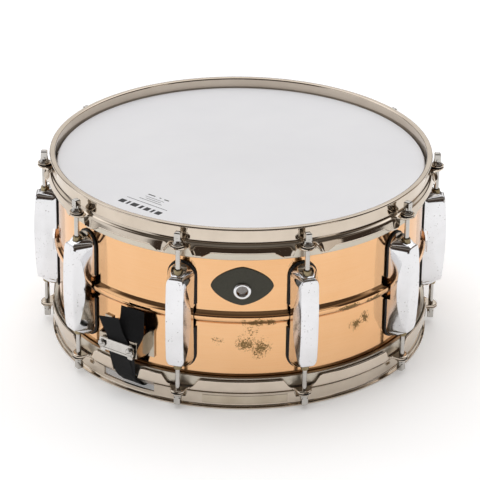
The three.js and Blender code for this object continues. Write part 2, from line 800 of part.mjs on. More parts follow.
function snareWiresSolid() {
  const half = WIRES_PLATE_HALF;
  const plates = [
    block(-half, half, WIRES_PLATE_IN, WIRES_PLATE_OUT, WIRES_TOP - 1.8, WIRES_TOP),
    block(-half, half, -WIRES_PLATE_OUT, -WIRES_PLATE_IN, WIRES_TOP - 1.8, WIRES_TOP),
  ];
  const strands = Array.from({ length: STRAND_COUNT }, (_, i) => {
    const across = (i - (STRAND_COUNT - 1) / 2) * STRAND_PITCH;
    return block(
      across - STRAND_THICK / 2,
      across + STRAND_THICK / 2,
      -WIRES_PLATE_IN - 2,
      WIRES_PLATE_IN + 2,
      WIRES_TOP - 0.2 - STRAND_THICK,
      WIRES_TOP - 0.2,
    );
  });
  return joined([...plates, ...strands]);
}

// ----------------------------------------------------------------- assembly

const snareDrum = new THREE.Group();
const drum = new THREE.Group();
drum.position.z = HALF_HEIGHT;
snareDrum.add(drum);

function station(degrees) {
  const group = new THREE.Group();
  group.rotation.z = THREE.MathUtils.degToRad(degrees);
  drum.add(group);
  return group;
}

// A frame turned over about X, for the pieces at the resonant side.
function underside() {
  const group = new THREE.Group();
  group.rotation.x = Math.PI;
  drum.add(group);
  return group;
}

drum.add(mesh("shell", shellSolid(), bronze));
drum.add(mesh("batter_head", headSolid(), coatedFilm));
drum.add(mesh("batter_flesh_hoop", fleshHoopSolid(), aluminium));
drum.add(mesh("top_hoop", topHoopSolid(), nickel));
drum.add(mesh("badge", badgeSolid(), badgePaint));
drum.add(mesh("vent_grommet", grommetSolid(), chrome));

const below = underside();
below.add(mesh("resonant_head", headSolid(), clearFilm));
below.add(mesh("resonant_flesh_hoop", fleshHoopSolid(), aluminium));
below.add(mesh("bottom_hoop", bottomHoopSolid(), nickel));

const lugShape = lugSolid();
const rodShape = rodSolid();
lugAzimuths.forEach((azimuth, i) => {
  const number = String(i + 1).padStart(2, "0");
  const place = station(azimuth);
  place.add(mesh("lug_" + number, lugShape, chrome));
  const topRod = mesh("top_tension_rod_" + number, rodShape, nickel);
  topRod.position.y = -ROD_CIRCLE;
  const bottomRod = mesh("bottom_tension_rod_" + number, rodShape, nickel);
  bottomRod.position.y = -ROD_CIRCLE;
  bottomRod.rotation.x = Math.PI;
  place.add(topRod, bottomRod);
});

const butt = station(BUTT_DEG);
const buttStrapRadius = BUTT_FACE + GAP + STRAP_THICK / 2;
const buttClampRadius = buttStrapRadius + STRAP_THICK / 2 + GAP;
butt.add(mesh("butt_bracket", buttBracketSolid(), chrome));
butt.add(
  mesh(
    "butt_clamp_plate",
    clampPlateSolid(buttClampRadius, CLAMP_LOW, CLAMP_HIGH, CLAMP_SCREW_HEIGHT),
    chrome,
  ),
);
butt.add(mesh("butt_strap", strapSolid(buttStrapRadius, -12, -50), blackRibbon));

const toe = station(THROW_DEG);
const throwStrapRadius = CARRIAGE_FACE + GAP + STRAP_THICK / 2;
const throwClampRadius = throwStrapRadius + STRAP_THICK / 2 + GAP;
toe.add(mesh("throwoff_base", throwBaseSolid(), chrome));
toe.add(mesh("throwoff_carriage", carriageSolid(), steel));
toe.add(mesh("throwoff_lever", leverSolid(), chrome));
toe.add(mesh("throwoff_pivot_pin", pivotPinSolid(), steel));
toe.add(
  mesh(
    "throwoff_clamp_plate",
    clampPlateSolid(throwClampRadius, -49, -37, THROW_CLAMP_SCREW_HEIGHT),
    chrome,
  ),
);
toe.add(mesh("throwoff_strap", strapSolid(throwStrapRadius, -30, -58), blackRibbon));
const knob = mesh("throwoff_tension_knob", knobSolid(), chrome);
knob.position.y = -KNOB_AXIS;
toe.add(knob);
["lower", "upper"].forEach((level, i) => {
  const screw = insideScrewSolid(THROW_SCREW_HEIGHTS[i], THROW_SCREW_TIP);
  toe.add(mesh("throwoff_mounting_screw_" + level, screw, steel));
});

[
  ["left", -1],
  ["right", 1],
].forEach(([side, sign]) => {
  const across = sign * CLAMP_SCREW_SPREAD;
  const buttHead = buttClampRadius + CLAMP_THICK + GAP;
  const buttScrew = screwSolid(190.5, buttHead, across, CLAMP_SCREW_HEIGHT);
  butt.add(mesh("butt_clamp_screw_" + side, buttScrew, steel));
  const throwHead = throwClampRadius + CLAMP_THICK + GAP;
  const throwScrew = screwSolid(187, throwHead, across, THROW_CLAMP_SCREW_HEIGHT);
  toe.add(mesh("throwoff_clamp_screw_" + side, throwScrew, steel));
  const mountPlace = station(BUTT_DEG + sign * BUTT_SCREW_DEG);
  const mountScrew = insideScrewSolid(BUTT_SCREW_HEIGHT, BUTT_SCREW_TIP);
  mountPlace.add(mesh("butt_mounting_screw_" + side, mountScrew, steel));
});

toe.add(mesh("snare_wires", snareWiresSolid(), steel));

export default snareDrum;
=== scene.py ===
import math

import bmesh
import bpy
import numpy as np
from mathutils import Matrix, Vector


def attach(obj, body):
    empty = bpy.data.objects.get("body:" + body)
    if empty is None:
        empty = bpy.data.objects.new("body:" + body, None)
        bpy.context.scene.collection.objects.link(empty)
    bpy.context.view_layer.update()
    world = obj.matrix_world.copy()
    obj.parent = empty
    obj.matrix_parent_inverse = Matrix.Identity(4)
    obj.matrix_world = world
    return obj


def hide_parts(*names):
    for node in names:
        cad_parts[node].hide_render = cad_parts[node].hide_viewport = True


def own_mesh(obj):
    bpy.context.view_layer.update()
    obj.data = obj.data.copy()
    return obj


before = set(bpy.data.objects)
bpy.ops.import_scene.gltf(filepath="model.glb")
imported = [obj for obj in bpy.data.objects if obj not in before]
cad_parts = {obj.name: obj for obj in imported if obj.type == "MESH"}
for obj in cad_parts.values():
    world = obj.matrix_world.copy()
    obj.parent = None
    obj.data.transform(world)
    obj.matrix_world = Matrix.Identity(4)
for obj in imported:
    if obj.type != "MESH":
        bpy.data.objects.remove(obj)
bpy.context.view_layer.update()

# Every piece is drawn at the front of the drum in millimetres, as points of
# (across, distance from the drum's axis, height above the mid-plane), and then
# turned to its azimuth and put in metres.

MM = 0.001
MID_HEIGHT = 93.0
RODS = [18.0 + 36.0 * i for i in range(10)]
ROD_CIRCLE = 190.5
BUTT = -36.0
THROW = 144.0
SHELL = 177.8
SHELL_HALF = 82.55
WALL = 1.2
VENT_HEIGHT = 28
LUG_SCREW_HEIGHT = 36
BUTT_FIXING_TURN = 8.1
BUTT_FIXING_HEIGHT = -27.5
THROW_FIXINGS = {"lower": -26, "upper": 15}
CLAMP_SCREW_ACROSS = 16
LEVER_PIVOT = (195, 12)
KNOB_AXIS = 184.6


# ------------------------------------------------------------------- camera


def set_camera():
    """A long lens at seated height, looking down on the badge side."""
    distance, elevation, turn = 2.54096, 25.5097, 0.8577
    pitch, roll = -0.0015251, -0.0129281
    seat = Vector(
        (
            0,
            -distance * math.cos(math.radians(elevation)),
            distance * math.sin(math.radians(elevation)),
        )
    )
    ahead = -seat.normalized()
    right = Vector((1, 0, 0))
    up = right.cross(ahead)
    tilt = Matrix.Rotation(pitch, 3, right)
    ahead, up = tilt @ ahead, tilt @ up
    bank = Matrix.Rotation(roll, 3, ahead)
    right, up = bank @ right, bank @ up
    axes = Matrix((right, up, -ahead)).transposed()
    place = axes.to_4x4()
    place.translation = seat
    spin_back = Matrix.Rotation(math.radians(-turn), 4, "Z")
    camera = bpy.data.objects.new("camera", bpy.data.cameras.new("camera"))
    camera.matrix_world = Matrix.Translation((0, 0, 0.0915)) @ spin_back @ place
    camera.data.sensor_width = 36
    camera.data.lens = 36 * 2585.47 / 480
    camera.data.clip_start = 0.05
    camera.data.clip_end = 60
    bpy.context.scene.collection.objects.link(camera)
    bpy.context.scene.camera = camera


# ------------------------------------------------------------ mesh in the making


def joined(*forms):
    """Several forms, each a list of points and one of faces, as one form."""
    points, faces, start = [], [], 0
    for form_points, form_faces in forms:
        form_points = np.asarray(form_points, float)
        points.append(form_points)
        faces += [[i + start for i in face] for face in form_faces]
        start += len(form_points)
    return np.vstack(points), faces


def grid(rows, close_rows=False, close_columns=False):
    """A net of four-sided faces over rows of points, closed either way if asked."""
    rows = np.asarray(rows, float)
    n, m = rows.shape[:2]
    faces = []
    for i in range(n if close_rows else n - 1):
        for j in range(m if close_columns else m - 1):
            a, b = i * m, (i + 1) % n * m
            k = (j + 1) % m
            faces.append([a + j, a + k, b + k, b + j])
    return rows.reshape(-1, 3), faces


def spin_drum(profile, steps=320):
    """A closed profile of (radius, height) turned round the drum's own axis."""
    angles = np.linspace(0, 2 * math.pi, steps, endpoint=False)
    rows = [[(r * math.sin(a), r * math.cos(a), z) for r, z in profile] for a in angles]
    return grid(rows, True, True)


def spin_upright(profile, steps=24, distance=ROD_CIRCLE, across=0.0):
    """A closed profile of (radius, height) turned round an upright axis."""
    angles = np.linspace(0, 2 * math.pi, steps, endpoint=False)
    rows = [
        [(across + p * math.cos(a), distance + p * math.sin(a), z) for p, z in profile]
        for a in angles
    ]
    return grid(rows, True, True)


def spin_outward(profile, across=0.0, height=0.0, steps=28):
    """A closed profile of (radius, distance from the drum's axis) turned round a pin."""
    angles = np.linspace(0, 2 * math.pi, steps, endpoint=False)
    rows = [
        [(across + p * math.cos(a), r, height + p * math.sin(a)) for p, r in profile]
        for a in angles
    ]
    return grid(rows, True, True)


def spin_across(profile, distance, height, steps=24):
    """A closed profile of (radius, across) turned round a pin that lies across."""
    angles = np.linspace(0, 2 * math.pi, steps, endpoint=False)
    rows = [
        [(u, distance + p * math.cos(a), height + p * math.sin(a)) for p, u in profile]
        for a in angles
    ]
    return grid(rows, True, True)


def prism(outline, low, high, way):
    """An outline raised between two values: way is up, out or across."""
    order = {"up": (0, 1, 2), "out": (0, 2, 1), "across": (1, 2, 0)}[way]
    points = []
    for level in (low, high):
        for a, b in outline:
            p = [0.0, 0.0, 0.0]
            p[order[0]], p[order[1]], p[order[2]] = a, b, level
            points.append(p)
    n = len(outline)
    sides = [[i, (i + 1) % n, n + (i + 1) % n, n + i] for i in range(n)]
    return points, [list(range(n)), list(range(n, 2 * n)), *sides]


def block(left, right, inner, outer, low, high):
    """A plain block between six limits."""
    outline = [(left, low), (right, low), (right, high), (left, high)]
    return prism(outline, inner, outer, "out")


def rounded(corners, radius, steps=5):
    """A polygon with every corner rounded."""
    made = []
    n = len(corners)
    for i in range(n):
        p, a, b = (np.array(corners[k % n], float) for k in (i, i - 1, i + 1))
        da, db = (a - p) / np.linalg.norm(a - p), (b - p) / np.linalg.norm(b - p)
        half = math.acos(max(-1, min(1, float(da @ db)))) / 2
        reach = min(
            radius / math.tan(half),
            0.49 * np.linalg.norm(a - p),
            0.49 * np.linalg.norm(b - p),
        )
        for t in np.linspace(0, 1, steps):
            enter, leave = p + da * reach, p + db * reach
            made.append(tuple((1 - t) ** 2 * enter + 2 * t * (1 - t) * p + t**2 * leave))
    return made


def ring_sector(inner, outer, from_deg, to_deg, low, high, steps=40):
    """A part of a ring round the drum, between two azimuths in degrees."""
    angles = np.radians(np.linspace(from_deg, to_deg, steps))
    rows = [
        [
            (r * math.sin(a), r * math.cos(a), z)
            for r, z in ((inner, low), (outer, low), (outer, high), (inner, high))
        ]
        for a in angles
    ]
    points, faces = grid(rows, False, True)
    last = len(points) - 4
    return points, [*faces, [0, 1, 2, 3], [last, last + 1, last + 2, last + 3]]


def swung(form, azimuth):
    """A form carried round the drum's axis to another azimuth."""
    p = np.asarray(form[0], float)
    a = math.radians(azimuth)
    u, r = p[:, 0], p[:, 1]
    turned = (u * math.cos(a) + r * math.sin(a), r * math.cos(a) - u * math.sin(a), p[:, 2])
    return np.column_stack(turned), form[1]


def smooth_line(points, count):
    """Points spread evenly along a smooth line through the given ones."""
    p = np.asarray(points, float)
    p = np.vstack([2 * p[0] - p[1], p, 2 * p[-1] - p[-2]])
    line = []
    for i in range(1, len(p) - 2):
        for t in np.linspace(0, 1, 16, endpoint=False):
            line.append(
                0.5
                * (
                    2 * p[i]
                    + (p[i + 1] - p[i - 1]) * t
                    + (2 * p[i - 1] - 5 * p[i] + 4 * p[i + 1] - p[i + 2]) * t**2
                    + (3 * p[i] - p[i - 1] - 3 * p[i + 1] + p[i + 2]) * t**3
                )
            )
    line = np.array([*line, p[-2]])
    run = np.concatenate([[0], np.cumsum(np.linalg.norm(np.diff(line, axis=0), axis=1))])
    even = np.linspace(0, run[-1], count)
    return np.column_stack([np.interp(even, run, line[:, k]) for k in range(line.shape[1])])


def make(name, form, azimuth=0.0, turned_over=False):
    """An object from a form, turned to its azimuth and, if asked, put upside down."""
    points, faces = form
    p = np.array(points, float)
    if turned_over:
        p[:, 2] *= -1
    a = math.radians(azimuth)
    x, y = p[:, 0], -p[:, 1]
    co = np.column_stack(
        [x * math.cos(a) - y * math.sin(a), x * math.sin(a) + y * math.cos(a), p[:, 2] + MID_HEIGHT]
    )
    data = bpy.data.meshes.new(name)
    data.from_pydata((co * MM).tolist(), [], [list(f) for f in faces])
    tidy = bmesh.new()
    tidy.from_mesh(data)
    bmesh.ops.remove_doubles(tidy, verts=tidy.verts, dist=1e-6)
    bmesh.ops.dissolve_degenerate(tidy, edges=tidy.edges, dist=1e-7)
    bmesh.ops.recalc_face_normals(tidy, faces=tidy.faces)
    tidy.to_mesh(data)
    tidy.free()
    obj = bpy.data.objects.new(name, data)
    bpy.context.scene.collection.objects.link(obj)
    return obj


def settled(obj):
    """Turns the modifiers' result into the object's own plain mesh."""
    graph = bpy.context.evaluated_depsgraph_get()
    plain = bpy.data.meshes.new_from_object(obj.evaluated_get(graph), depsgraph=graph)
    obj.modifiers.clear()
    old, obj.data = obj.data, plain
    plain.name = obj.name
    bpy.data.meshes.remove(old)
    return obj


def cut(obj, form, azimuth=0.0, turned_over=False, union=False):
    """Takes a form out of the object, or adds it with union."""
    tool = make("tool", form, azimuth, turned_over)
    step = obj.modifiers.new("cut", "BOOLEAN")
    step.operation = "UNION" if union else "DIFFERENCE"
    step.solver = "EXACT"
    step.object = tool
    settled(obj)
    bpy.data.objects.remove(tool)
    return obj


def softened(obj, width, segments=3, angle=32):
    """Rounds the edges that are sharper than the angle."""
    step = obj.modifiers.new("bevel", "BEVEL")
    step.width = width * MM
    step.segments = segments
    step.limit_method = "ANGLE"
    step.angle_limit = math.radians(angle)
    step.use_clamp_overlap = True
    step.harden_normals = False
    return settled(obj)


def shaded(obj, angle=38, flats=False):
    """Smooth shading, with edges past the angle kept sharp."""
    obj.data.shade_smooth()
    obj.data.set_sharp_from_angle(angle=math.radians(angle))
    if flats:
        step = obj.modifiers.new("flats", "WEIGHTED_NORMAL")
        step.keep_sharp = True
        step.weight = 100
        settled(obj)
    return obj


def finished(obj, material, body="drum", stands_for=(), angle=38, flats=True):
    obj.data.materials.clear()
    obj.data.materials.append(material)
    shaded(obj, angle, flats)
    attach(obj, body)
    if stands_for:
        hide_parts(*stands_for)
    return obj


# ---------------------------------------------------------------- node helpers


def node(tree, kind, sockets=None, **facts):
    """A node with its sockets filled, by a link or by a value."""
    made = tree.nodes.new(kind)
    for key, value in facts.items():
        setattr(made, key, value)
    for key, value in (sockets or {}).items():
        socket = made.inputs[key]
        if isinstance(value, bpy.types.NodeSocket):
            tree.links.new(value, socket)
        else:
            socket.default_value = value
    return made


def maths(tree, operation, a, b=0.5, clamp=False):
    return node(
        tree, "ShaderNodeMath", {0: a, 1: b}, operation=operation, use_clamp=clamp
    ).outputs[0]


def mapped(tree, value, low, high, to_low=0.0, to_high=1.0):
    """The value moved from one range to another and held inside it."""
    return node(
        tree, "ShaderNodeMapRange", {0: value, 1: low, 2: high, 3: to_low, 4: to_high}
    ).outputs[0]


def noise(tree, vector, scale, detail=3.0, rough=0.55, stretch=None):
    if stretch:
        vector = node(tree, "ShaderNodeMapping", {0: vector, 3: stretch}).outputs[0]
    return node(
        tree,
        "ShaderNodeTexNoise",
        {"Vector": vector, "Scale": scale, "Detail": detail, "Roughness": rough},
    ).outputs[0]


def blended(tree, share, a, b):
    return node(
        tree, "ShaderNodeMix", {0: share, 6: a, 7: b}, data_type="RGBA"
    ).outputs[2]


def patch(tree, place, centre, size):
    """1 at the middle of an ellipsoid spot, 0 outside it."""
    away = node(tree, "ShaderNodeVectorMath", {0: place, 1: centre}, operation="SUBTRACT")
    scaled = node(
        tree,
        "ShaderNodeVectorMath",
        {0: away.outputs[0], 1: tuple(1 / s for s in size)},
        operation="MULTIPLY",
    )
    length = node(tree, "ShaderNodeVectorMath", {0: scaled.outputs[0]}, operation="LENGTH")
    return mapped(tree, length.outputs["Value"], 1.0, 0.0)


def on_shell(azimuth, height, radius=SHELL):
    """A place in metres on or near the shell."""
    a = math.radians(azimuth)
    return (
        radius * math.sin(a) * MM,
        -radius * math.cos(a) * MM,
        (height + MID_HEIGHT) * MM,
    )


def begin(name, metallic, colour, roughness):
    """A new material, its shader and its object coordinates."""
    material = bpy.data.materials.new(name)
    material.use_nodes = True
    tree = material.node_tree
    shader = tree.nodes["Principled BSDF"]
    shader.inputs["Metallic"].default_value = metallic
    shader.inputs["Base Color"].default_value = (*colour, 1)
    shader.inputs["Roughness"].default_value = roughness
    place = tree.nodes.new("ShaderNodeTexCoord").outputs["Object"]
    return material, tree, shader, place


def bumped(tree, shader, height, strength, distance=0.0002):
    bump = node(
        tree, "ShaderNodeBump", {"Height": height, "Strength": strength, "Distance": distance}
    )
    tree.links.new(bump.outputs[0], shader.inputs["Normal"])
    return bump


def plated(name, colour, dull, roughness, pits=0.0, lines=0.35):
    """Bright plating with a polisher's lines, a faint haze and a few pits."""
    material, tree, shader, place = begin(name, 1.0, colour, roughness)
    haze = noise(tree, place, 38.0, 4.0)
    tint = blended(tree, mapped(tree, haze, 0.4, 0.75), (*colour, 1), (*dull, 1))
    fine = noise(tree, place, 5.0, 5.0, 0.6, (30.0, 30.0, 420.0))
    worn = noise(tree, place, 190.0, 3.0)
    rough = mapped(tree, haze, 0.3, 0.8, roughness * 0.7, roughness * 1.7)
    if pits:
        specks = noise(tree, place, 620.0, 2.0)
        field = noise(tree, place, 55.0, 2.0)
        cover = maths(
            tree,
            "MULTIPLY",
            mapped(tree, specks, 0.66, 0.71),
            mapped(tree, field, 0.45, 0.6),
            True,
        )
        cover = maths(tree, "MULTIPLY", cover, pits, True)
        tint = blended(tree, cover, tint, (0.16, 0.13, 0.11, 1))
        rough = maths(tree, "ADD", rough, maths(tree, "MULTIPLY", cover, 0.4))
    tree.links.new(tint, shader.inputs["Base Color"])
    tree.links.new(rough, shader.inputs["Roughness"])
    height = maths(
        tree, "ADD", maths(tree, "MULTIPLY", fine, lines), maths(tree, "MULTIPLY", worn, 0.4)
    )
    bumped(tree, shader, height, 0.06)
    return material


def bronze_finish():
    """Polished bronze with draw lines round the drum and spots of tarnish."""
    base, deep = (0.84, 0.50, 0.26), (0.78, 0.43, 0.20)
    material, tree, shader, place = begin("polished_bronze", 1.0, base, 0.1)
    cloud = noise(tree, place, 9.0, 4.0, 0.6)
    lines = noise(tree, place, 4.0, 6.0, 0.65, (4.0, 4.0, 330.0))
    tint = blended(tree, mapped(tree, cloud, 0.35, 0.75), (*base, 1), (*deep, 1))
    tint = blended(tree, mapped(tree, lines, 0.4, 0.8, 0.0, 0.25), tint, (0.86, 0.60, 0.38, 1))
    grains = noise(tree, place, 620.0, 6.0, 0.75)
    clumps = noise(tree, place, 150.0, 3.0, 0.6)
    spots = None
    for azimuth, height, size, strength in (
        (5.6, -31.5, (0.014, 0.02, 0.014), 1.0),
        (1.4, -27.0, (0.013, 0.02, 0.012), 0.85),
        (2.6, -14.0, (0.0095, 0.02, 0.009), 0.7),
        (-7.0, -24.5, (0.009, 0.02, 0.006), 0.75),
        (37.0, -24.5, (0.0095, 0.016, 0.008), 1.1),
        (40.8, -21.0, (0.0075, 0.016, 0.009), 1.05),
        (34.0, -2.5, (0.018, 0.02, 0.005), 1.6),
        (44.0, -2.5, (0.012, 0.02, 0.005), 1.4),
        (5.0, -4.0, (0.028, 0.02, 0.006), 1.35),
        (-6.0, 30.0, (0.0016, 0.006, 0.0016), 0.8),
    ):
        spot = patch(tree, place, on_shell(azimuth, height), size)
        spot = maths(tree, "MULTIPLY", spot, strength)
        spots = spot if spots is None else maths(tree, "MAXIMUM", spots, spot)
    grains = maths(tree, "MULTIPLY", grains, 0.7)
    ground = maths(tree, "ADD", grains, maths(tree, "MULTIPLY", clumps, 0.3))
    ground = maths(tree, "ADD", ground, maths(tree, "MULTIPLY", spots, 0.2))
    cover = mapped(tree, ground, 0.585, 0.635)
    cover = maths(tree, "MULTIPLY", cover, mapped(tree, spots, 0.02, 0.2), True)
    tint = blended(tree, maths(tree, "MULTIPLY", cover, 0.85), tint, (0.13, 0.085, 0.025, 1))
    tree.links.new(tint, shader.inputs["Base Color"])
    rough = mapped(tree, cloud, 0.3, 0.8, 0.06, 0.15)
    rough = maths(tree, "ADD", rough, maths(tree, "MULTIPLY", cover, 0.35))
    tree.links.new(rough, shader.inputs["Roughness"])
    height = maths(
        tree, "SUBTRACT", maths(tree, "MULTIPLY", lines, 0.5), maths(tree, "MULTIPLY", cover, 0.8)
    )
    bumped(tree, shader, height, 0.05)
    return material


def coated_film_finish():
    """White sprayed coating: fine grit, a little greyer where it is played."""
    material, tree, shader, place = begin("coated_film", 0.0, (0.76, 0.76, 0.775), 0.62)
    grit = noise(tree, place, 1400.0, 3.0, 0.7)
    cloud = noise(tree, place, 14.0, 3.0)
    worn = maths(tree, "MULTIPLY", patch(tree, place, (0, 0, 0.176), (0.09, 0.09, 0.09)), 0.35)
    cloud = mapped(tree, cloud, 0.3, 0.8)
    tint = blended(tree, cloud, (0.775, 0.775, 0.79, 1), (0.74, 0.74, 0.76, 1))
    tint = blended(tree, worn, tint, (0.71, 0.71, 0.72, 1))
    tree.links.new(tint, shader.inputs["Base Color"])
    tree.links.new(mapped(tree, grit, 0.3, 0.7, 0.5, 0.72), shader.inputs["Roughness"])
    bumped(tree, shader, grit, 0.18, 0.0001)
    return material


def clear_film_finish():
    """Thin clear film with a slight haze."""
    material, tree, shader, place = begin("clear_film", 0.0, (0.93, 0.92, 0.88), 0.1)
    shader.inputs["Alpha"].default_value = 0.3
    haze = noise(tree, place, 60.0, 4.0)
    tree.links.new(mapped(tree, haze, 0.3, 0.8, 0.06, 0.28), shader.inputs["Roughness"])
    bumped(tree, shader, haze, 0.03)
    return material


def aluminium_finish():
    """Satin aluminium with fine lines round the hoop."""
    material, tree, shader, place = begin("satin_aluminium", 1.0, (0.62, 0.57, 0.48), 0.32)
    lines = noise(tree, place, 4.0, 5.0, 0.7, (5.0, 5.0, 700.0))
    haze = noise(tree, place, 30.0, 3.0)
    tint = blended(tree, haze, (0.66, 0.61, 0.52, 1), (0.52, 0.47, 0.39, 1))
    tree.links.new(tint, shader.inputs["Base Color"])
    tree.links.new(mapped(tree, lines, 0.3, 0.7, 0.24, 0.42), shader.inputs["Roughness"])
    bumped(tree, shader, lines, 0.12)
    return material


def paint_finish():
    """Dark olive badge paint with a fine grain."""
    material, tree, shader, place = begin("badge_paint", 0.35, (0.047, 0.045, 0.03), 0.42)
    grain = noise(tree, place, 700.0, 4.0)
    tint = blended(tree, grain, (0.055, 0.052, 0.035, 1), (0.035, 0.033, 0.022, 1))
    tree.links.new(tint, shader.inputs["Base Color"])
    tree.links.new(mapped(tree, grain, 0.3, 0.7, 0.34, 0.5), shader.inputs["Roughness"])
    bumped(tree, shader, grain, 0.08)
    return material


def ribbon_finish():
    """Black grosgrain: ribs across the ribbon and a little lint."""
    material, tree, shader = begin("black_ribbon", 0.0, (0.004, 0.004, 0.005), 0.9)[:3]
    cloth = tree.nodes.new("ShaderNodeUVMap")
    cloth.uv_map = "cloth"
    apart = node(tree, "ShaderNodeSeparateXYZ", {0: cloth.outputs[0]})
    ribs = maths(tree, "SINE", maths(tree, "MULTIPLY", apart.outputs[1], 5200.0))
    threads = maths(tree, "SINE", maths(tree, "MULTIPLY", apart.outputs[0], 7400.0))
    ribs = maths(tree, "MULTIPLY", ribs, 0.7)
    weave = maths(tree, "ADD", ribs, maths(tree, "MULTIPLY", threads, 0.3))
    lint = mapped(tree, noise(tree, cloth.outputs[0], 900.0, 4.0), 0.45, 0.8)
    tint = blended(tree, lint, (0.003, 0.003, 0.0035, 1), (0.012, 0.012, 0.013, 1))
    tree.links.new(tint, shader.inputs["Base Color"])
    tree.links.new(mapped(tree, weave, -1.0, 1.0, 0.95, 0.75), shader.inputs["Roughness"])
    shader.inputs["Sheen Weight"].default_value = 0.04
    shader.inputs["Specular IOR Level"].default_value = 0.25
    shader.inputs["Sheen Roughness"].default_value = 0.5
    bumped(tree, shader, weave, 0.35, 0.0002)
    return material


def rubber_finish(name, colour, roughness):
    material, tree, shader, place = begin(name, 0.0, colour, roughness)
    grain = noise(tree, place, 900.0, 3.0)
    dusty = tuple(c * 1.8 + 0.01 for c in colour)
    tint = blended(tree, mapped(tree, grain, 0.4, 0.8), (*colour, 1), (*dusty, 1))
    tree.links.new(tint, shader.inputs["Base Color"])
    tree.links.new(
        mapped(tree, grain, 0.3, 0.7, roughness * 0.85, min(1.0, roughness * 1.15)),
        shader.inputs["Roughness"],
    )
    bumped(tree, shader, grain, 0.1)
    return material


# ------------------------------------------------------------- geometry node trees


def new_tree(name, inputs):
    """An empty geometry tree with named inputs."""
    tree = bpy.data.node_groups.new(name, "GeometryNodeTree")
    tree.interface.new_socket("Geometry", in_out="OUTPUT", socket_type="NodeSocketGeometry")
    for label, kind in inputs:
        tree.interface.new_socket(label, in_out="INPUT", socket_type="NodeSocket" + kind)
    return tree, tree.nodes.new("NodeGroupInput"), tree.nodes.new("NodeGroupOutput")


def close_tree(tree, given, end, geometry):
    """Ends a tree: copies made real, then the material set."""
    real = node(tree, "GeometryNodeRealizeInstances", {0: geometry})
    dressed = node(
        tree,
        "GeometryNodeSetMaterial",
        {"Geometry": real.outputs[0], "Material": given.outputs["Material"]},
    )
    tree.links.new(dressed.outputs[0], end.inputs[0])
    return tree


def ring_tree():
    """Copies of one part turned round the drum's axis at even steps."""
    tree, given, end = new_tree(
        "parts_round_the_drum",
        [
            ("Part", "Object"),
            ("Count", "Int"),
            ("First angle", "Float"),
            ("Step angle", "Float"),
            ("Material", "Material"),
        ],
    )
    part = node(tree, "GeometryNodeObjectInfo", {"Object": given.outputs["Part"]})
    spots = node(tree, "GeometryNodePoints", {"Count": given.outputs["Count"]})
    number = tree.nodes.new("GeometryNodeInputIndex")
    turn = maths(tree, "MULTIPLY", number.outputs[0], given.outputs["Step angle"])
    turn = maths(tree, "ADD", turn, given.outputs["First angle"])
    angles = node(tree, "ShaderNodeCombineXYZ", {2: turn})
    copies = node(
        tree,
        "GeometryNodeInstanceOnPoints",
        {
            "Points": spots.outputs[0],
            "Instance": part.outputs["Geometry"],
            "Rotation": angles.outputs[0],
        },
    )
    return close_tree(tree, given, end, copies.outputs[0])


def coil_tree():
    """Coiled strands laid side by side, all of one length, along Y."""
    tree, given, end = new_tree(
        "coiled_strands",
        [
            ("Strands", "Int"),
            ("Pitch", "Float"),
            ("Turns", "Float"),
            ("Coil radius", "Float"),
            ("Wire radius", "Float"),
            ("Length", "Float"),
            ("Height", "Float"),
            ("Angle", "Float"),
            ("Material", "Material"),
        ],
    )
    coil = node(
        tree,
        "GeometryNodeCurveSpiral",
        {
            "Resolution": 8,
            "Rotations": given.outputs["Turns"],
            "Start Radius": given.outputs["Coil radius"],
            "End Radius": given.outputs["Coil radius"],
            "Height": given.outputs["Length"],
        },
    )
    section = node(
        tree,
        "GeometryNodeCurvePrimitiveCircle",
        {"Resolution": 4, "Radius": given.outputs["Wire radius"]},
    )
    wire = node(
        tree,
        "GeometryNodeCurveToMesh",
        {"Curve": coil.outputs[0], "Profile Curve": section.outputs[0], "Fill Caps": True},
    )
    half = maths(tree, "MULTIPLY", given.outputs["Length"], 0.5)
    start = node(tree, "ShaderNodeCombineXYZ", {1: half})
    laid = node(
        tree,
        "GeometryNodeTransform",
        {
            "Geometry": wire.outputs[0],
            "Translation": start.outputs[0],
            "Rotation": (math.pi / 2, 0, 0),
        },
    )
    count = maths(tree, "SUBTRACT", given.outputs["Strands"], 1.0)
    width = maths(tree, "MULTIPLY", count, given.outputs["Pitch"])
    first = maths(tree, "MULTIPLY", width, -0.5)
    origin = node(tree, "ShaderNodeCombineXYZ", {0: first})
    step = node(tree, "ShaderNodeCombineXYZ", {0: given.outputs["Pitch"]})
    row = node(
        tree,
        "GeometryNodeMeshLine",
        {
            "Count": given.outputs["Strands"],
            "Start Location": origin.outputs[0],
            "Offset": step.outputs[0],
        },
    )
    copies = node(
        tree,
        "GeometryNodeInstanceOnPoints",
        {"Points": row.outputs[0], "Instance": laid.outputs[0]},
    )
    lift = node(tree, "ShaderNodeCombineXYZ", {2: given.outputs["Height"]})
    turn = node(tree, "ShaderNodeCombineXYZ", {2: given.outputs["Angle"]})
    placed = node(
        tree,
        "GeometryNodeTransform",
        {
            "Geometry": copies.outputs[0],
            "Translation": lift.outputs[0],
            "Rotation": turn.outputs[0],
        },
    )
    return close_tree(tree, given, end, placed.outputs[0])


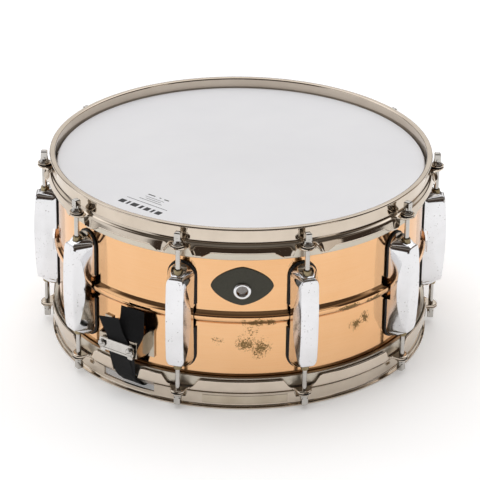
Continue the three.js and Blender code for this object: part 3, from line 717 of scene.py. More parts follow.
def thread_tree():
    """A screw thread's ridge wound round an upright axis."""
    tree, given, end = new_tree(
        "screw_thread",
        [
            ("Turns", "Float"),
            ("Radius", "Float"),
            ("Length", "Float"),
            ("Ridge", "Float"),
            ("Place", "Vector"),
            ("Material", "Material"),
        ],
    )
    coil = node(
        tree,
        "GeometryNodeCurveSpiral",
        {
            "Resolution": 14,
            "Rotations": given.outputs["Turns"],
            "Start Radius": given.outputs["Radius"],
            "End Radius": given.outputs["Radius"],
            "Height": given.outputs["Length"],
        },
    )
    section = node(
        tree,
        "GeometryNodeCurvePrimitiveCircle",
        {"Resolution": 3, "Radius": given.outputs["Ridge"]},
    )
    ridge = node(
        tree,
        "GeometryNodeCurveToMesh",
        {"Curve": coil.outputs[0], "Profile Curve": section.outputs[0], "Fill Caps": True},
    )
    placed = node(
        tree,
        "GeometryNodeTransform",
        {"Geometry": ridge.outputs[0], "Translation": given.outputs["Place"]},
    )
    return close_tree(tree, given, end, placed.outputs[0])


def from_tree(name, tree, **values):
    """The plain mesh that a geometry tree makes from the given values."""
    obj = bpy.data.objects.new(name, bpy.data.meshes.new(name))
    bpy.context.scene.collection.objects.link(obj)
    step = obj.modifiers.new(tree.name, "NODES")
    step.node_group = tree
    for item in tree.interface.items_tree:
        if item.in_out == "INPUT" and item.name.replace(" ", "_").lower() in values:
            step[item.identifier] = values[item.name.replace(" ", "_").lower()]
    return settled(obj)


def merged(name, objects):
    """Several settled objects as one."""
    whole = bmesh.new()
    for obj in objects:
        whole.from_mesh(obj.data)
    data = bpy.data.meshes.new(name)
    whole.to_mesh(data)
    whole.free()
    for obj in objects:
        bpy.data.objects.remove(obj)
    made = bpy.data.objects.new(name, data)
    bpy.context.scene.collection.objects.link(made)
    return made


def round_the_drum(name, part, material, first=RODS[0], step=36.0, count=10):
    """Ten copies of a part, one at each tension rod."""
    ring = from_tree(
        name,
        TREES["ring"],
        part=part,
        count=count,
        first_angle=math.radians(first),
        step_angle=math.radians(step),
        material=material,
    )
    bpy.data.objects.remove(part)
    return ring


# -------------------------------------------------------------------- shell


def bead_line():
    """The outside of the bead from above to below, with soft feet."""
    line = []
    for z in np.linspace(6.6, -6.6, 27):
        t = abs(z) / 6.6
        lift = 4.2 * (1 - t**2.3) ** 1.25
        line.append((SHELL + lift, z))
    return line


def make_shell():
    """Shell with its bead, turned-in edges, vent hole and screw holes."""
    edge = [
        (SHELL, SHELL_HALF - 5),
        (SHELL, SHELL_HALF - 3.4),
        (177.4, SHELL_HALF - 1.5),
        (176.6, SHELL_HALF - 0.4),
        (175.8, SHELL_HALF),
        (175.0, SHELL_HALF - 0.2),
        (172.6, SHELL_HALF - 2.6),
        (172.6, SHELL_HALF - 3.9),
        (174.8, SHELL_HALF - 1.9),
        (175.9, SHELL_HALF - 2.1),
        (SHELL - WALL, SHELL_HALF - 4.4),
    ]
    heights = [60, 45, 30, 18, 9]
    outside = [*edge[::-1], *[(SHELL, h) for h in heights], *bead_line()]
    outside += [(SHELL, -h) for h in heights[::-1]]
    outside += [(r, -z) for r, z in edge]
    inside = [(SHELL - WALL, -h) for h in heights]
    inside += [(r - WALL, z) for r, z in bead_line()[::-1]]
    inside += [(SHELL - WALL, h) for h in heights[::-1]]
    shell = make("shell_skin", spin_drum([*outside, *inside], 360))
    holes = [spin_outward([(0, 165), (6.4, 165), (6.4, 190), (0, 190)], 0, VENT_HEIGHT, 32)]
    screws = [(BUTT + side * BUTT_FIXING_TURN, BUTT_FIXING_HEIGHT) for side in (-1, 1)]
    screws += [(THROW, height) for height in THROW_FIXINGS.values()]
    for azimuth, height in screws:
        bore = spin_outward([(0, 165), (2.2, 165), (2.2, 190), (0, 190)], 0, height, 16)
        holes.append(swung(bore, azimuth))
    cut(shell, joined(*holes))
    finished(shell, FINISH["bronze"], stands_for=["shell"], angle=30)


def make_heads():
    """Both films with their collars, and the flesh hoops that grip them."""
    face = SHELL_HALF + 0.3
    film = [
        (0, face),
        (60, face),
        (120, face),
        (170, face),
        (175.6, face),
        (176.8, face - 0.5),
        (177.6, face - 1.6),
        (178.0, face - 3.3),
        (178.1, 76),
        (178.1, 70),
        (178.6, 70),
        (178.6, 76),
        (178.5, face - 3.1),
        (178.05, face - 1.3),
        (177.1, face + 0.1),
        (175.8, face + 0.5),
        (170, face + 0.5),
        (120, face + 0.5),
        (60, face + 0.5),
        (0, face + 0.5),
    ]
    batter = make("batter_film", spin_drum(film, 256))
    finished(batter, FINISH["coated"], stands_for=["batter_head"])
    resonant = make("resonant_film", spin_drum(film, 256), turned_over=True)
    finished(resonant, FINISH["clear"], stands_for=["resonant_head"])
    flesh = [
        (178.9, 61.4),
        (179.4, 61.0),
        (182.4, 61.0),
        (182.9, 61.5),
        (183.0, 62.4),
        (182.7, 63.4),
        (182.7, 70.6),
        (182.2, 72.0),
        (179.6, 72.3),
        (178.9, 71.6),
    ]
    for name, node_name, over in (
        ("batter_channel", "batter_flesh_hoop", False),
        ("resonant_channel", "resonant_flesh_hoop", True),
    ):
        hoop = make(name, spin_drum(flesh, 256), turned_over=over)
        finished(hoop, FINISH["aluminium"], stands_for=[node_name])


def head_mark(rows):
    """Flat bars printed on the head, each as (across, from, to, width)."""
    face = SHELL_HALF + 0.85
    bars = []
    for left, right, inner, outer in rows:
        bars.append(block(left, right, inner, outer, face - 0.06, face))
    return joined(*bars)


def make_head_print():
    """Plain bars and rules printed near the edge of the batter head."""
    rows = [(-24.0, 24.5, 140.1, 140.8)]
    left = -25.0
    for width in (6.6, 2.6, 7.4, 3.4, 5.6, 2.6, 6.0):
        rows.append((left, left + width, 146.4, 153.0))
        left += width + 2.6
    rows += [(-14.0, 13.0, 134.2, 134.9), (-9.0, 9.5, 131.0, 131.6), (-12.0, 10.5, 127.8, 128.4)]
    rows += [(-12.5, -4.0, 122.6, 124.2), (1.0, 3.4, 122.8, 124.0), (7.0, 12.5, 122.6, 124.2)]
    mark = make("head_print", head_mark(rows), -39.2)
    finished(mark, FINISH["ink"])


# -------------------------------------------------------------------- hoops

SHEET = 2.3
TOP_SKIRT_LEAN = 72.0
BOTTOM_SKIRT_LEAN = 90.0


def hoop_column(flange, end_angle):
    """One radial slice of a hoop: rim, wall, fillet, then a flange of the given
    length that turns to end_angle below the horizontal."""
    outer = [
        (183.9, 93.0),
        (184.35, 92.8),
        (184.75, 92.3),
        (185.0, 91.7),
        (185.0, 91.3),
        (184.6, 91.05),
        (183.3, 91.05),
        (182.4, 90.75),
        (181.85, 90.2),
        (181.6, 89.4),
        (181.6, 86.0),
        (181.6, 82.0),
        (181.6, 79.7),
        (181.8, 78.4),
        (182.3, 77.3),
        (183.0, 76.45),
        (183.75, 75.85),
    ]
    slope = math.radians(34)
    turn = math.radians(end_angle)
    r, z = outer[-1]
    steps = 12
    marks = []
    for i in range(1, steps + 1):
        s0, s1 = flange * (i - 1) / steps, flange * i / steps
        mid = (s0 + s1) / 2
        t = min(1.0, mid / 3.6)
        t = t * t * (3 - 2 * t)
        angle = slope + (turn - slope) * t
        r += (s1 - s0) * math.cos(angle)
        z -= (s1 - s0) * math.sin(angle)
        marks.append((r, z))
    line = outer + marks
    path = outer[9:] + marks
    back = []
    for i in range(len(path) - 1, -1, -1):
        a, b = path[max(0, i - 1)], path[min(len(path) - 1, i + 1)]
        dr, dz = b[0] - a[0], b[1] - a[1]
        size = math.hypot(dr, dz) or 1.0
        thick = SHEET * (0.72 if i == len(path) - 1 else 1.0)
        back.append((path[i][0] + dz / size * thick, path[i][1] - dr / size * thick))
    tip_dir = (path[-1][0] - path[-2][0], path[-1][1] - path[-2][1])
    size = math.hypot(*tip_dir) or 1.0
    tip = (
        (path[-1][0] + back[0][0]) / 2 + tip_dir[0] / size * 0.5,
        (path[-1][1] + back[0][1]) / 2 + tip_dir[1] / size * 0.5,
    )
    inside = [(179.3, 91.2), (179.45, 92.2), (179.95, 92.8), (180.8, 93.0), (182.6, 93.0)]
    return [*line, tip, *back, *inside]


def eased(value, low, high):
    """A soft step from 0 to 1 between two limits."""
    t = min(1.0, max(0.0, (value - low) / (high - low)))
    return t * t * (3 - 2 * t)


def ear_length(across):
    """How far an ear reaches out, beside the rod's centre line."""
    half = 7.8
    if across >= half:
        return 5.0
    return 5.2 + math.sqrt(half * half - across * across)


def top_flange(away):
    """Length and angle of the top hoop's flange, away degrees from a rod."""
    across = ROD_CIRCLE * math.sin(math.radians(away))
    down = eased(away, 1.7, 5.4)
    lobe = 7.3 + 4.7 * eased(away, 2.4, 5.0) * (1 - eased(away, 5.7, 9.6))
    length = ear_length(across) if away < 2.3 else 5.0 + (lobe - 5.0) * eased(away, 2.3, 4.2)
    return length, TOP_SKIRT_LEAN * down


def bottom_flange(away):
    """Length and angle of the bottom hoop's flange, away degrees from a rod."""
    across = ROD_CIRCLE * math.sin(math.radians(away))
    down = eased(away, 2.1, 3.6)
    length = ear_length(across) if away < 2.3 else 4.2 + 8.7 * eased(away, 3.4, 6.2)
    return length, BOTTOM_SKIRT_LEAN * down


def hoop_azimuths(extra=()):
    """Where the hoops are sliced: closely at the ears, widely between them."""
    angles = set()
    for rod in RODS:
        for offset in np.concatenate([np.arange(0, 10.01, 0.25), np.arange(10.8, 18.01, 0.9)]):
            angles.add(round((rod + offset) % 360, 3))
            angles.add(round((rod - offset) % 360, 3))
    angles.update(round(a % 360, 3) for a in extra)
    return sorted(angles)


def rod_distance(azimuth):
    """Degrees to the nearest tension rod."""
    return min(abs((azimuth - rod + 180) % 360 - 180) for rod in RODS)


def make_hoops():
    """Both hoops, with the snare gates cut in the bottom one."""
    rows = []
    for azimuth in hoop_azimuths():
        a = math.radians(azimuth)
        length, angle = top_flange(rod_distance(azimuth))
        column = hoop_column(length, angle)
        rows.append([(r * math.sin(a), r * math.cos(a), z) for r, z in column])
    top = make("top_rim", grid(rows, True, True))
    finished(top, FINISH["nickel"], stands_for=["top_hoop"], angle=60)

    gates = [BUTT % 360, THROW]
    extra = [g + s * d for g in gates for s in (1, -1) for d in np.arange(3.4, 6.6, 0.15)]
    rows = []
    for azimuth in hoop_azimuths(extra):
        a = math.radians(azimuth)
        length, angle = bottom_flange(rod_distance(azimuth))
        beside = min(abs((azimuth - g + 180) % 360 - 180) for g in gates)
        keep = eased(beside, 4.2, 5.6)
        length = 1.6 + (length - 1.6) * keep
        column = hoop_column(length, angle)
        rows.append([(r * math.sin(a), r * math.cos(a), z) for r, z in column])
    bottom = make("bottom_rim", grid(rows, True, True), turned_over=True)
    windows = [ring_sector(177, 183.4, g - 9.4, g + 9.4, 75.6, 86.6, 24) for g in (BUTT, THROW)]
    drill = spin_outward([(0, 176), (0.9, 176), (0.9, 184), (0, 184)], 0, 77.8, 12)
    cut(bottom, joined(*windows, swung(drill, -50.5)), 0, True)
    finished(bottom, FINISH["nickel"], stands_for=["bottom_hoop"], angle=60)

    label = ring_sector(181.66, 181.95, -11.5, 13.9, -88.6, -80.4, 60)
    strip = make("hoop_label", label)
    finished(strip, FINISH["label"])


# --------------------------------------------------------------------- lugs


def lug_stations():
    """Heights up the lug, each with the casting's half width, the side crease,
    and the edge of the face plate, as points across and out."""
    half_width, straight, lip = 12.6, 40.7, 45.6
    heights = [0, 4, 8, 12, 16, 20, 24, 28, 32, 35, 37.5, 39.5, 41, 42.2, 43.1, 43.8]
    heights += [44.3, 44.7, 45.0, 45.25, 45.45, lip, 45.75, 45.95, 46.3, 47, 48, 49, 50]
    heights += [51, 51.8, 52.4, 52.8, 53.1, 53.25]
    stations = []
    for z in heights:
        past = max(0.0, z - straight)
        width = math.sqrt(max(0.12, half_width**2 - past**2))
        line = 201.7 - 0.00125 * z * z
        rise = min(1.0, z / lip) ** 2.2
        if z <= lip:
            drop = max(0.0, (z - 43.4) / (lip - 43.4))
            front = line - 2.6 * (1 - math.sqrt(max(0.0, 1 - drop**2)))
            plate = 8.4 * math.sqrt(1 - max(0.0, (z - 37.1) / 10.0) ** 2)
        else:
            front = max(180.2, line - 2.6 - (z - lip) * 2.05)
            plate = width - (width - 4.5) * (front - 182.5) / 14
            plate = max(0.3, min(plate, 0.98 * width))
        crease = (width + (plate - width) * rise, 190 + (front - 190) * rise)
        stations.append((z, width, crease, (plate, front)))
    return stations


def towards(point, other, step):
    """The point moved a step towards the other, by no more than a third of the way."""
    gap = math.dist(point, other)
    share = min(step / max(gap, 1e-6), 1 / 3)
    return tuple(a + (b - a) * share for a, b in zip(point, other))


def lug_loft():
    """The casting without its foot gap and bores."""
    upper = lug_stations()
    rows = []
    for z, width, crease, edge in [*[(-z, *rest) for z, *rest in upper[:0:-1]], *upper]:
        root = (width, min(182.5, edge[1] - 0.5))
        if math.dist(crease, edge) < 0.9:
            crease = towards(edge, root, 0.9)
        half = [
            (width, 179.2),
            root,
            towards(crease, root, 0.35),
            towards(crease, edge, 0.35),
            towards(edge, crease, 0.6),
            towards(edge, (0, edge[1]), 0.6),
            (edge[0] * 0.45, edge[1] + 0.05),
        ]
        section = [(-u, r) for u, r in half] + [(u, r) for u, r in half[::-1]]
        rows.append([(u, r, z) for u, r in section])
    points, faces = grid(rows, False, True)
    count = len(rows[0])
    last = len(points) - count
    return points, [*faces, list(range(count)), [last + i for i in range(count)]]


def lug_outline(half_width, half_length, start, steps=14):
    """The upper half of the lug's footprint, from the bead gap upwards."""
    centre = half_length - half_width
    arc = [
        (half_width * math.cos(t), centre + half_width * math.sin(t))
        for t in np.linspace(0, math.pi, steps)
    ]
    return [(half_width, start), *arc, (-half_width, start)]


def make_lugs():
    """Castings, gaskets, swivel nuts, and the screws inside the shell."""
    model = make("lug_model", lug_loft())
    cut(model, block(-20, 20, 170, 183.2, -11.2, 11.2))
    for sign in (1, -1):
        bore = [(0, sign * 34), (4.3, sign * 34), (4.3, sign * 56), (0, sign * 56)]
        cut(model, spin_upright(bore, 28))
    for i, azimuth in enumerate(RODS):
        lug = bpy.data.objects.new(f"lug_casting_{i + 1:02d}", model.data.copy())
        bpy.context.scene.collection.objects.link(lug)
        lug.data.transform(Matrix.Rotation(math.radians(azimuth), 4, "Z"))
        finished(lug, FINISH["chrome_worn"], "drum", [f"lug_{i + 1:02d}"], 28)
    bpy.data.objects.remove(model)

    shapes = []
    for sign in (1, -1):
        outline = [(u, sign * z) for u, z in lug_outline(14.1, 54.9, 11.6)]
        shapes.append(prism(outline, 177.95, 179.15, "out"))
    gasket = make("gasket", joined(*shapes))
    softened(gasket, 0.25, 2)
    ring = round_the_drum("lug_gaskets", gasket, FINISH["rubber"])
    finished(ring, FINISH["rubber"])

    nut = [(2.6, 38), (4.0, 38), (4.0, 50.2), (3.5, 51.3), (2.9, 51.3), (2.6, 50.9)]
    nuts = make("nut", joined(spin_upright(nut, 26), spin_upright([(r, -z) for r, z in nut], 26)))
    ring = round_the_drum("swivel_nuts", nuts, FINISH["brass"])
    finished(ring, FINISH["brass"])

    head = [(0, 170.6), (2.2, 170.7), (3.4, 171.2), (3.9, 172.2), (3.9, 173.6), (0, 173.6)]
    slot = prism([(-3.0, -0.45), (3.0, -0.45), (3.0, 0.45), (-3.0, 0.45)], 169, 171.7, "out")
    washer = [(2.0, 173.7), (6.0, 173.7), (6.2, 174.0), (6.2, 174.8), (2.0, 174.8)]
    screws = []
    for height in (-LUG_SCREW_HEIGHT, LUG_SCREW_HEIGHT):
        screw = make("lug_screw", spin_outward(head, 0, height, 20))
        points = [(u, r, z + height) for u, r, z in slot[0]]
        cut(screw, (points, slot[1]))
        screws.append(screw)
        plate = [(p, r + 1.3) for p, r in washer]
        screws.append(make("lug_washer", spin_outward(plate, 0, height, 24)))
    inside = merged("lug_screw_set", screws)
    ring = round_the_drum("lug_screws", inside, FINISH["steel"])
    finished(ring, FINISH["steel"])


# --------------------------------------------------------------- tension rods


def make_rods():
    """Square-headed tension rods with threads, and their pads and washers."""
    shaft = [
        (0, 27),
        (1.8, 27),
        (2.35, 28.2),
        (2.35, 77.0),
        (5.0, 77.0),
        (5.3, 77.25),
        (5.35, 77.7),
        (5.1, 78.15),
        (4.5, 78.5),
        (4.1, 79.2),
        (3.65, 80.6),
        (3.4, 82.0),
        (3.35, 83.2),
        (0, 83.2),
    ]
    half = 3.1
    square = [(half, 81.5), (half, 87.9), (half - 0.55, 88.7), (half - 1.3, 89.0)]
    rows = []
    for reach, z in square:
        base = rounded([(-reach, -reach), (reach, -reach), (reach, reach), (-reach, reach)], 0.6, 3)
        rows.append([(u, ROD_CIRCLE + v, z) for u, v in base])
    points, faces = grid(rows, False, True)
    count = len(rows[0])
    last = len(points) - count
    head = (points, [*faces, list(range(count)), [last + i for i in range(count)]])
    plain = make("rod_model", joined(spin_upright(shaft, 26), head))
    ridge = from_tree(
        "rod_ridge",
        TREES["thread"],
        turns=22.0,
        radius=0.00232,
        length=0.0235,
        ridge=0.00038,
        place=(0.0, -ROD_CIRCLE * MM, (28.5 + MID_HEIGHT) * MM),
        material=FINISH["nickel"],
    )
    model = merged("rod_whole", [plain, ridge])
    for side, over in (("top", False), ("bottom", True)):
        for i, azimuth in enumerate(RODS):
            name = f"{side}_tension_rod_{i + 1:02d}"
            rod = bpy.data.objects.new(name.replace("tension_rod", "rod"), model.data.copy())
            bpy.context.scene.collection.objects.link(rod)
            if over:
                centre = Vector((0, -ROD_CIRCLE * MM, MID_HEIGHT * MM))
                flip = Matrix.Rotation(math.pi, 4, "X")
                rod.data.transform(Matrix.Translation(centre) @ flip @ Matrix.Translation(-centre))
            rod.data.transform(Matrix.Rotation(math.radians(azimuth), 4, "Z"))
            finished(rod, FINISH["rod"], name, [name], 32)
    bpy.data.objects.remove(model)

    pad = [(2.7, 75.1), (5.9, 75.1), (6.1, 75.3), (6.1, 75.9), (5.9, 76.0), (2.7, 76.0)]
    pads = joined(spin_upright(pad, 28), spin_upright([(r, -z) for r, z in pad], 28))
    made = round_the_drum("rod_pads", make("pad", pads), FINISH["rubber"])
    finished(made, FINISH["rubber"])
    ring = [(2.7, 76.05), (6.2, 76.05), (6.45, 76.25), (6.45, 76.7), (6.2, 76.9), (2.7, 76.9)]
    washers = joined(spin_upright(ring, 28), spin_upright([(r, -z) for r, z in ring], 28))
    made = round_the_drum("rod_washers", make("washer", washers), FINISH["nickel"])
    finished(made, FINISH["nickel"])


# ------------------------------------------------------------- badge and vent


def badge_ring(radius, share):
    """The badge's outline, a wide lens with blunt tips, at a share of its size."""
    ring = []
    for angle in np.linspace(0, 2 * math.pi, 120, endpoint=False):
        across = math.cos(angle)
        rise = (1 - abs(across) ** 1.45) ** 0.62 * math.copysign(1, math.sin(angle))
        a = 29 * share * across / SHELL
        ring.append((radius * math.sin(a), radius * math.cos(a), 32.65 + 19.35 * share * rise))
    return ring


def make_badge():
    """Badge plate and the sleeve of the vent."""
    layers = [(178.15, 1.0), (178.6, 1.0), (178.85, 0.985), (178.92, 0.955)]
    layers += [(178.92, share) for share in (0.85, 0.75, 0.65, 0.55, 0.45, 0.35)]
    rings = [badge_ring(radius, share) for radius, share in layers]
    steps = len(rings[0])
    points, faces = grid(rings, False, True)
    last = len(points) - steps
    faces += [[last + i for i in range(steps)], list(range(steps))]
    badge = make("badge_plate", (points, faces))
    cut(badge, spin_outward([(0, 170), (6.3, 170), (6.3, 190), (0, 190)], 0, VENT_HEIGHT, 32))
    finished(badge, FINISH["paint"], stands_for=["badge"], angle=30)

    sleeve = [
        (5.1, 174.6),
        (6.0, 174.6),
        (6.0, 179.25),
        (7.6, 179.25),
        (8.0, 179.5),
        (8.0, 179.9),
        (7.5, 180.4),
        (6.6, 180.7),
        (5.7, 180.6),
        (5.2, 180.1),
        (5.1, 179.4),
    ]
    grommet = make("vent_sleeve", spin_outward(sleeve, 0, VENT_HEIGHT, 40))
    finished(grommet, FINISH["chrome"], stands_for=["vent_grommet"])


# ----------------------------------------------------------- straps and clamps


def ribbon(name, left, right, azimuth, thick=0.9, rows=46, columns=9, curl=0.0):
    """A flat ribbon between two edge lines, with its own cloth coordinates."""
    a, b = smooth_line(left, rows), smooth_line(right, rows)
    mid = (a + b) / 2
    along = np.concatenate([[0], np.cumsum(np.linalg.norm(np.diff(mid, axis=0), axis=1))])
    front = []
    for i in range(rows):
        line = []
        for t in np.linspace(0, 1, columns):
            p = a[i] * (1 - t) + b[i] * t
            p = p + np.array([0, curl * math.sin(math.pi * t) * math.sin(along[i] / 9.0), 0])
            line.append(p)
        front.append(line)
    front = np.array(front)
    du = np.gradient(front, axis=1)
    dv = np.gradient(front, axis=0)
    normal = np.cross(du, dv)
    normal /= np.maximum(1e-9, np.linalg.norm(normal, axis=2, keepdims=True))
    back = front - normal * thick
    points = np.concatenate([front.reshape(-1, 3), back.reshape(-1, 3)])
    n = rows * columns
    faces = []
    for i in range(rows - 1):
        for j in range(columns - 1):
            k = i * columns + j
            faces.append([k, k + 1, k + columns + 1, k + columns])
            faces.append([n + k, n + k + columns, n + k + columns + 1, n + k + 1])
        for j in (0, columns - 1):
            k = i * columns + j
            faces.append([k, k + columns, n + k + columns, n + k])
    for i in (0, rows - 1):
        for j in range(columns - 1):
            k = i * columns + j
            faces.append([k, k + 1, n + k + 1, n + k])
    strap = make(name, (points, faces), azimuth)
    width = float(np.linalg.norm(a - b, axis=1).mean())
    cloth = strap.data.uv_layers.new(name="cloth")
    turn = Matrix.Rotation(math.radians(-azimuth), 4, "Z")
    flat_mid = np.array([(p[0], -p[1], p[2] + MID_HEIGHT) for p in mid]) * MM
    across = (b - a) / np.maximum(1e-9, np.linalg.norm(b - a, axis=1, keepdims=True))
    across = np.column_stack([across[:, 0], -across[:, 1], across[:, 2]])
    for loop in strap.data.loops:
        co = np.array(turn @ strap.data.vertices[loop.vertex_index].co)
        k = int(np.argmin(np.linalg.norm(flat_mid - co, axis=1)))
        u = float((co - flat_mid[k]) @ across[k]) + width * MM / 2
        cloth.data[loop.index].uv = (u, along[k] * MM)
    return strap, width * MM, float(along[-1]) * MM


def clamp_screw(inner, face, across, height, drum_azimuth, name, body, stands_for):
    """A round-headed slotted screw driven inwards."""
    profile = [
        (0, inner),
        (1.5, inner),
        (1.5, face),
        (3.7, face),
        (4.0, face + 0.35),
        (3.7, face + 1.3),
        (2.7, face + 2.0),
        (1.2, face + 2.2),
        (0, face + 2.2),
    ]
    screw = make(name, spin_outward(profile, across, height, 26), drum_azimuth)
    slot = [(-5.0, -0.5), (5.0, -0.5), (5.0, 0.5), (-5.0, 0.5)]
    tilt = math.radians(24)
    turned = [
        (
            across + u * math.cos(tilt) - z * math.sin(tilt),
            height + u * math.sin(tilt) + z * math.cos(tilt),
        )
        for u, z in slot
    ]
    cut(screw, prism(turned, face + 1.15, face + 4, "out"), drum_azimuth)
    softened(screw, 0.12, 1, 40)
    finished(screw, FINISH["steel"], body, stands_for)


def inside_screw(name, height, tip, azimuth, stands_for):
    """A screw driven outwards, its slotted head against the shell's inner wall."""
    head = [(0, 173.4), (2.4, 173.6), (3.7, 174.4), (3.9, 175.7)]
    head += [(1.6, 175.7), (1.6, tip), (0, tip)]
    screw = make(name, spin_outward(head, 0, height), azimuth)
    low, high = height - 0.5, height + 0.5
    slot = prism([(-5, low), (5, low), (5, high), (-5, high)], 172, 174.5, "out")
    cut(screw, slot, azimuth)
    finished(screw, FINISH["steel"], "drum", [stands_for])


def clamp_plate(name, inner, low, high, azimuth, body, stands_for):
    """A pressed clamp plate: turned edges, a rough field and pierced screw holes."""
    half, middle = 19.8, (low + high) / 2
    outline = rounded([(-half, low), (half, low), (half, high), (-half, high)], 3.2, 6)
    plate = make(name, prism(outline, inner, inner + 1.6, "out"), azimuth)
    end = half - 2
    for edge in (low + 1.0, high - 1.0):
        under, over = edge - 0.9, edge + 0.9
        rail = rounded([(-end, under), (end, under), (end, over), (-end, over)], 0.8, 3)
        cut(plate, prism(rail, inner + 1.2, inner + 2.15, "out"), azimuth, union=True)
    for side in (-1, 1):
        bore = [(0, inner - 2), (2.0, inner - 2), (2.0, inner + 5), (0, inner + 5)]
        cut(plate, spin_outward(bore, side * CLAMP_SCREW_ACROSS, middle, 18), azimuth)
    for centre in (-CLAMP_SCREW_ACROSS, CLAMP_SCREW_ACROSS):
        foot = [(centre - 3.2, low - 2.4), (centre + 3.2, low - 2.4)]
        foot += [(centre + 2.6, low + 1), (centre - 2.6, low + 1)]
        foot = prism(rounded(foot, 1.4, 4), inner, inner + 1.5, "out")
        cut(plate, foot, azimuth, union=True)
    softened(plate, 0.3, 2, 40)
    return finished(plate, FINISH["chrome_rough"], body, stands_for)


def make_butt():
    """The fixed end: bracket, clamp plate and screws."""
    face, sheet = 195.4, 2.0
    low, high, half = -47.8, -31.5, 22.0
    parts = []
    for side in (-1, 1):
        wall = rounded(
            [(face, low), (face, high), (178.2, high + 5.0), (178.2, low - 1.6)], 1.5, 4
        )
        edges = sorted((side * (half - sheet), side * half))
        parts.append(prism(wall, edges[0], edges[1], "across"))
    front = rounded([(-half, low), (half, low), (half, high), (-half, high)], 1.0, 3)
    bracket = make("butt_plate", prism(front, face - sheet, face, "out"), BUTT)
    for part in parts:
        cut(bracket, part, BUTT, union=True)
    for side in (-1, 1):
        edges = sorted((side * 6.4, side * 9.2))
        flange = ring_sector(178.1, 180.0, edges[0], edges[1], -51.0, -22.8, 10)
        cut(bracket, flange, BUTT, union=True)
    softened(bracket, 0.6, 3, 35)
    finished(bracket, FINISH["bracket"], "drum", ["butt_bracket"])

    clamp_plate("butt_clamp", 196.9, -46.5, -34.5, BUTT, "drum", ["butt_clamp_plate"])
    for side, sign in (("left", -1), ("right", 1)):
        clamp_screw(
            190.5,
            199.4,
            sign * CLAMP_SCREW_ACROSS,
            -40.5,
            BUTT,
            f"butt_screw_{side}",
            "drum",
            [f"butt_clamp_screw_{side}"],
        )
        name = f"butt_fixing_screw_{side}"
        azimuth = BUTT + sign * BUTT_FIXING_TURN
        inside_screw(name, BUTT_FIXING_HEIGHT, 179.8, azimuth, f"butt_mounting_screw_{side}")


def make_butt_straps():
    """The ribbon folded through the butt clamp, as its two layers."""
    left = [
        (-20.9, 197.6, -13.9),
        (-16.5, 197.4, -24.0),
        (-10.9, 196.7, -34.8),
        (-9.8, 196.6, -46.5),
        (-9.9, 195.4, -52.0),
        (-8.8, 190.4, -68.9),
        (-7.6, 186.6, -76.6),
        (-7.0, 181.5, -81.4),
        (-7.0, 176.0, -84.0),
        (-7.0, 151.0, -84.4),
    ]
    right = [
        (2.6, 197.8, -9.8),
        (7.0, 197.3, -24.0),
        (13.0, 196.7, -34.8),
        (13.4, 196.6, -46.5),
        (13.2, 195.4, -52.0),
        (12.6, 190.2, -66.0),
        (11.6, 186.4, -74.5),
        (13.0, 181.5, -80.8),
        (16.0, 176.0, -84.0),
        (17.0, 151.0, -84.4),
    ]
    outer, width, length = ribbon("butt_ribbon_outer", left, right, BUTT, 0.45, 60, 9)
    finished(outer, FINISH["ribbon"], "drum", ["butt_strap"])
    left = [
        (-1.5, 188.2, -1.2),
        (-1.2, 190.5, -12.0),
        (-2.0, 193.8, -25.0),
        (-4.4, 195.8, -35.0),
        (-5.6, 196.0, -46.5),
        (-5.6, 194.8, -52.0),
        (-6.0, 189.7, -68.9),
        (-7.0, 185.9, -76.6),
        (-7.0, 181.0, -82.2),
        (-7.0, 175.6, -85.2),
        (-7.0, 151.0, -85.4),
    ]
    right = [
        (23.6, 186.2, -2.0),
        (25.0, 188.4, -12.0),
        (26.6, 191.6, -24.0),
        (23.6, 194.6, -34.0),
        (19.2, 196.0, -46.5),
        (18.4, 194.8, -52.0),
        (15.4, 189.5, -66.0),
        (12.6, 185.7, -74.5),
        (14.4, 181.0, -81.4),
        (16.8, 175.6, -85.2),
        (17.0, 151.0, -85.4),
    ]
    inner, width, length = ribbon("butt_ribbon_inner", left, right, BUTT, 0.45, 60, 9, 0.8)
    finished(inner, FINISH["ribbon"], "drum")


def make_throw_strap():
    """The ribbon from the throw-off down to the snare wires."""
    def edges(side, top):
        return [
            (side - 1.5, 195.1, top),
            (side - 0.75, 194.7, top - 7),
            (side, 194.1, -38),
            (side, 194.1, -49),
            (side, 192.9, -58),
            (side, 188.6, -73.0),
            (side, 186.2, -78.0),
            (side, 181.6, -81.8),
            (side, 175.8, -84.2),
            (side, 151.0, -84.5),
        ]

    left, right = edges(-12.5, -24), edges(12.5, -25)
    outer, width, length = ribbon("throw_ribbon_outer", left, right, THROW, 0.45)
    finished(outer, FINISH["ribbon"], "drum", ["throwoff_strap"])
    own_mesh(outer)


# ------------------------------------------------------------------- throw-off


